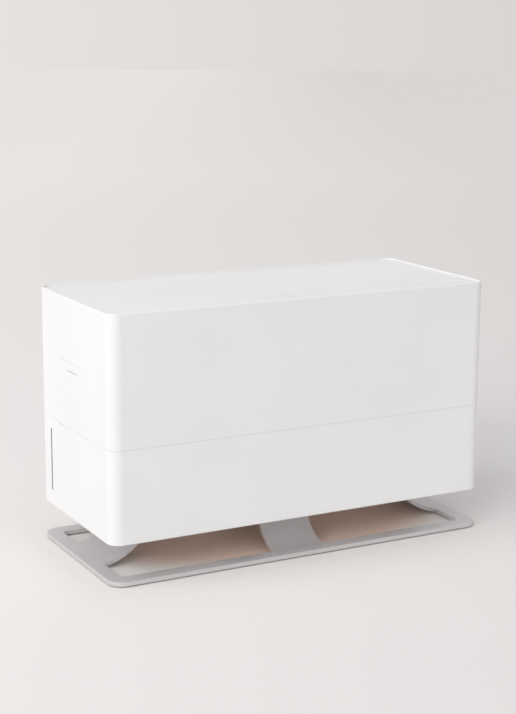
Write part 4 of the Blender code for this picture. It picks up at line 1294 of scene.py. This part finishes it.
def make_drawer_guide():
    low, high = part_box("drawer_guide")
    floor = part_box("aroma_drawer")[0].z + 0.6 * MM
    outline = filleted(
        [
            (low.y, low.z, 0.6 * MM),
            (high.y, low.z, 0.6 * MM),
            (high.y, high.z, 0.5 * MM),
            (high.y - GUIDE_WALL, high.z, 0.5 * MM),
            (high.y - GUIDE_WALL, floor, 0.5 * MM),
            (low.y + GUIDE_WALL, floor, 0.5 * MM),
            (low.y + GUIDE_WALL, high.z, 0.5 * MM),
            (low.y, high.z, 0.5 * MM),
        ],
        4,
    )

    def side_slots(bm):
        middle_z = (floor + high.z) / 2 + MM
        for along in GUIDE_SLOTS_AT:
            slot = rounded_rectangle(*GUIDE_SLOT, 5, (low.x + along, middle_z))
            add_prism(bm, slot, low.y - MM, low.y + GUIDE_WALL + MM, "Y")
            add_prism(bm, slot, high.y - GUIDE_WALL - MM, high.y + MM, "Y")

    steps = [("DIFFERENCE", side_slots)]
    rail = prisms([outline], low.x, high.x, "X")
    make_piece("drawer_rail", rail, steps, GREY, "inner_grey", "housing", "drawer_guide")


def board_corners():
    """Where the power board is held, near its four corners."""
    low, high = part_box("power_board")
    xs = (low.x + BOARD_MARGIN, high.x - BOARD_MARGIN)
    ys = (low.y + BOARD_MARGIN, high.y - BOARD_MARGIN)
    return [(x, y) for x in xs for y in ys]


def make_power_board():
    low, _, middle, half = box_of("power_board")
    top = low.z + BOARD_SHEET
    rest = ("circuit_green", "housing", "power_board")

    sheet = prisms([rounded_rectangle(half.x, half.y, 1.5 * MM, 4, (middle.x, 0))], low.z, top, edge=0.1 * MM)
    steps = [("DIFFERENCE", rods(board_corners(), BOARD_HOLE, low.z - MM, top + MM))]
    make_piece("power_circuit", sheet, steps, GREEN, *rest)

    def transformer(bm):
        """Two core halves with the rounder winding between them."""
        parts = [(TRANSFORMER, 0, 6, 0.6), (WINDING, 6.1, 16, 3), (TRANSFORMER, 16.1, 22, 0.6)]
        for (first, second), bottom, height, edge in parts:
            add_box(bm, (*first, top + bottom * MM), (*second, top + height * MM), edge * MM)

    make_piece("transformer_core", transformer, [], BLACK, *rest)

    can = [(0.5, 0, 0), (6, 0, 0.5), (6, 2.2, 0), (5.7, 2.8, 0), (6, 3.4, 0), (6, 20, 0.7)]
    can += [(4.8, 20, 0), (4.6, 19.6, 0), (0.5, 19.6, 0)]
    can = [(radius * MM, top + z * MM, rounding * MM) for radius, z, rounding in can]
    cans = turned(CAPACITORS, filleted(can, 4, closed=False), 40)
    make_piece("capacitor_cans", cans, [], BLACK, *rest)

    def sockets(bm):
        for y in SOCKET_YS:
            add_box(bm, (SOCKETS_X[0], y, top), (SOCKETS_X[1], y + 11 * MM, top + 8 * MM), 0.5 * MM)

    def mouths(bm):
        for y in SOCKET_YS:
            first = (SOCKETS_X[0] + 1.2 * MM, y + 1.2 * MM, top + 1.5 * MM)
            add_box(bm, first, (SOCKETS_X[1] - 1.2 * MM, y + 9.8 * MM, top + 9 * MM))

    make_piece("board_sockets", sockets, [("DIFFERENCE", mouths)], WHITE, *rest)


def make_board_cover():
    low, high, middle, half = box_of("board_cover")

    def hood(corners, steps):
        """A closed hood whose (inset, height) profile is carried round the cover's outline."""
        rings = []
        for inset, z in filleted(corners, steps, closed=False):
            sides = half.x - inset, half.y - inset, max(COVER_CORNER - inset, 0.5 * MM)
            rings.append(laid(rounded_rectangle(*sides, 6, middle.xy), z))
        return lambda bm: add_loft(bm, rings)

    inner_top = high.z - COVER_WALL
    shell = hood([(0, low.z, 0), (0, high.z, 2.5 * MM), (20 * MM, high.z, 0)], 6)
    inner = [(COVER_WALL, low.z - MM, 0), (COVER_WALL, inner_top, 1.5 * MM), (18 * MM, inner_top, 0)]
    vents = []
    for number in range(COVER_VENTS):
        centre = (middle.x, middle.y + (number - COVER_VENTS // 2) * COVER_VENT_PITCH)
        vents.append(rounded_rectangle(*COVER_VENT, 5, centre))
    steps = [("DIFFERENCE", hood(inner, 5)), ("DIFFERENCE", prisms(vents, inner_top - MM, high.z + MM))]
    make_piece("electronics_cover", shell, steps, GREY, "inner_grey", "housing", "board_cover")


def make_power_inlet():
    """A two-pin appliance inlet: rounded shroud, inner flange, and steel pins in its recess."""
    low, high, middle, half = box_of("power_inlet")
    half_x, half_z = half.x - INLET_FLANGE, half.z - INLET_FLANGE
    face = high.y
    shroud = rounded_rectangle(half_x, half_z, 2 * MM, 6, middle.xz)
    flange = rounded_rectangle(half.x, half.z, 2.5 * MM, 6, middle.xz)
    flange_front = HALF_Y - HOUSING_WALL - GAP
    radius = half_z - INLET_WALL
    mouth = rounded_rectangle(half_x - INLET_WALL, radius, radius * 0.98, 12, middle.xz)
    steps = [
        ("UNION", prisms([flange], flange_front - 2 * MM, flange_front, "Y", 0.3 * MM)),
        ("DIFFERENCE", prisms([mouth], face - INLET_RECESS, face + MM, "Y")),
    ]
    rest = ("housing", "power_inlet")
    make_piece("inlet_shroud", prisms([shroud], low.y, face, "Y", 0.3 * MM), steps, BLACK, "fan_black", *rest)

    def pins(bm):
        profile = [(INLET_RECESS + MM, 1.2 * MM), (3.4 * MM, 1.2 * MM), (2.8 * MM, MM), (2.5 * MM, 0.5 * MM)]
        for side in (-1, 1):
            x = middle.x + side * PIN_SPREAD
            rings = [laid(circle(radius, 24, x, middle.z), face - depth, "Y") for depth, radius in profile]
            add_loft(bm, rings)

    make_piece("inlet_pins", pins, [], STEEL, "screw_steel", *rest)


def refinish(material, *nodes):
    """Gives CAD nodes that stay as they are a better material."""
    for node in nodes:
        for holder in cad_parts[node].material_slots:
            holder.material = material


# ---- Studio ----


def make_floor():
    """A wide round floor of plain paper."""
    bm = bmesh.new()
    outer, inner = (
        [bm.verts.new(point) for point in laid(circle(radius, FLOOR_STEPS), 0)]
        for radius in (FLOOR_RADIUS, FLOOR_MIDDLE)
    )
    for i in range(FLOOR_STEPS):
        j = (i + 1) % FLOOR_STEPS
        bm.faces.new((outer[i], outer[j], inner[j], inner[i]))
    bm.faces.new(inner)
    mesh = bpy.data.meshes.new("studio_floor")
    bm.to_mesh(mesh)
    bm.free()
    mesh.materials.append(paper_floor("floor_paper"))
    floor = bpy.data.objects.new("studio_floor", mesh)
    bpy.context.scene.collection.objects.link(floor)


def make_sky():
    """Even white light from above; the wall at the horizon is warm, and dimmer to the right."""
    world = bpy.data.worlds.new("studio_sky")
    world.use_nodes = True
    tree = world.node_tree

    def blend(value, start, end, first, second):
        """A colour that goes from the first to the second as the value goes from start to end."""
        share = tree.nodes.new("ShaderNodeMapRange")
        share.inputs["From Min"].default_value = start
        share.inputs["From Max"].default_value = end
        tree.links.new(value, share.inputs["Value"])
        mix = tree.nodes.new("ShaderNodeMix")
        mix.data_type = "RGBA"
        tree.links.new(share.outputs["Result"], mix.inputs["Factor"])
        for color, socket in ((first, mix.inputs["A"]), (second, mix.inputs["B"])):
            if isinstance(color, tuple):
                socket.default_value = (*color, 1)
            else:
                tree.links.new(color, socket)
        return mix.outputs["Result"]

    place = tree.nodes.new("ShaderNodeTexCoord")
    turn = tree.nodes.new("ShaderNodeMapping")
    turn.inputs["Rotation"].default_value = (0, 0, CAMERA_AZIMUTH)
    tree.links.new(place.outputs["Generated"], turn.inputs["Vector"])
    parts = tree.nodes.new("ShaderNodeSeparateXYZ")
    tree.links.new(turn.outputs["Vector"], parts.inputs["Vector"])
    horizon = blend(parts.outputs["X"], -WALL_REACH, WALL_REACH, WALL_LEFT, WALL_RIGHT)
    sky = blend(parts.outputs["Z"], SKY_START, SKY_END, horizon, SKY_COLOR)
    tree.links.new(sky, tree.nodes["Background"].inputs["Color"])
    bpy.context.scene.world = world


def add_light(data, direction):
    light = bpy.data.objects.new(data.name, data)
    light.rotation_euler = direction.to_track_quat("-Z", "Y").to_euler()
    bpy.context.scene.collection.objects.link(light)
    return light


def make_lights():
    sun = bpy.data.lights.new("soft_key", "SUN")
    sun.energy = KEY_STRENGTH
    sun.angle = KEY_SOFTNESS
    add_light(sun, Vector(KEY_DIRECTION))
    fill = bpy.data.lights.new("left_fill", "AREA")
    fill.size = FILL_SIZE
    fill.energy = FILL_POWER
    add_light(fill, -Vector(FILL_PLACE)).location = FILL_PLACE


def make_camera():
    data = bpy.data.cameras.new("camera")
    data.lens = CAMERA_LENS
    data.sensor_width = CAMERA_SENSOR
    data.clip_start, data.clip_end = CAMERA_CLIP
    level = math.cos(CAMERA_ELEVATION)
    back = (-math.sin(CAMERA_AZIMUTH) * level, -math.cos(CAMERA_AZIMUTH) * level, math.sin(CAMERA_ELEVATION))
    back = Vector(back)
    right = (-back).cross(Vector((0, 0, 1))).normalized()
    up = right.cross(-back)
    tilted_right = right * math.cos(CAMERA_ROLL) + up * math.sin(CAMERA_ROLL)
    tilted_up = up * math.cos(CAMERA_ROLL) - right * math.sin(CAMERA_ROLL)
    turn = Matrix((tilted_right, tilted_up, back)).transposed()
    camera = bpy.data.objects.new("camera", data)
    camera.matrix_world = Matrix.Translation(CAMERA_PLACE) @ turn.to_4x4()
    bpy.context.scene.collection.objects.link(camera)
    bpy.context.scene.camera = camera


bpy.context.scene.view_settings.view_transform = "Standard"
make_camera()
make_floor()
make_sky()
make_lights()
make_stand()
make_feet()
make_tank()
make_level_parts()
make_housing()
make_top_grille()
make_buttons()
make_rear_grille()
make_drawer()
make_felt()
make_drawer_guide()
for cassette_side in SIDES:
    make_cassette_frame(cassette_side)
    make_wick(cassette_side)
make_fan_deck()
for fan_side in SIDES:
    make_fan_frame(fan_side)
    make_motor(fan_side)
    make_rotor(fan_side)
make_screws()
make_power_board()
make_board_cover()
make_power_inlet()
refinish(STEEL, "motor_shaft_left", "motor_shaft_right")
refinish(GREEN, "button_board", "humidity_sensor")
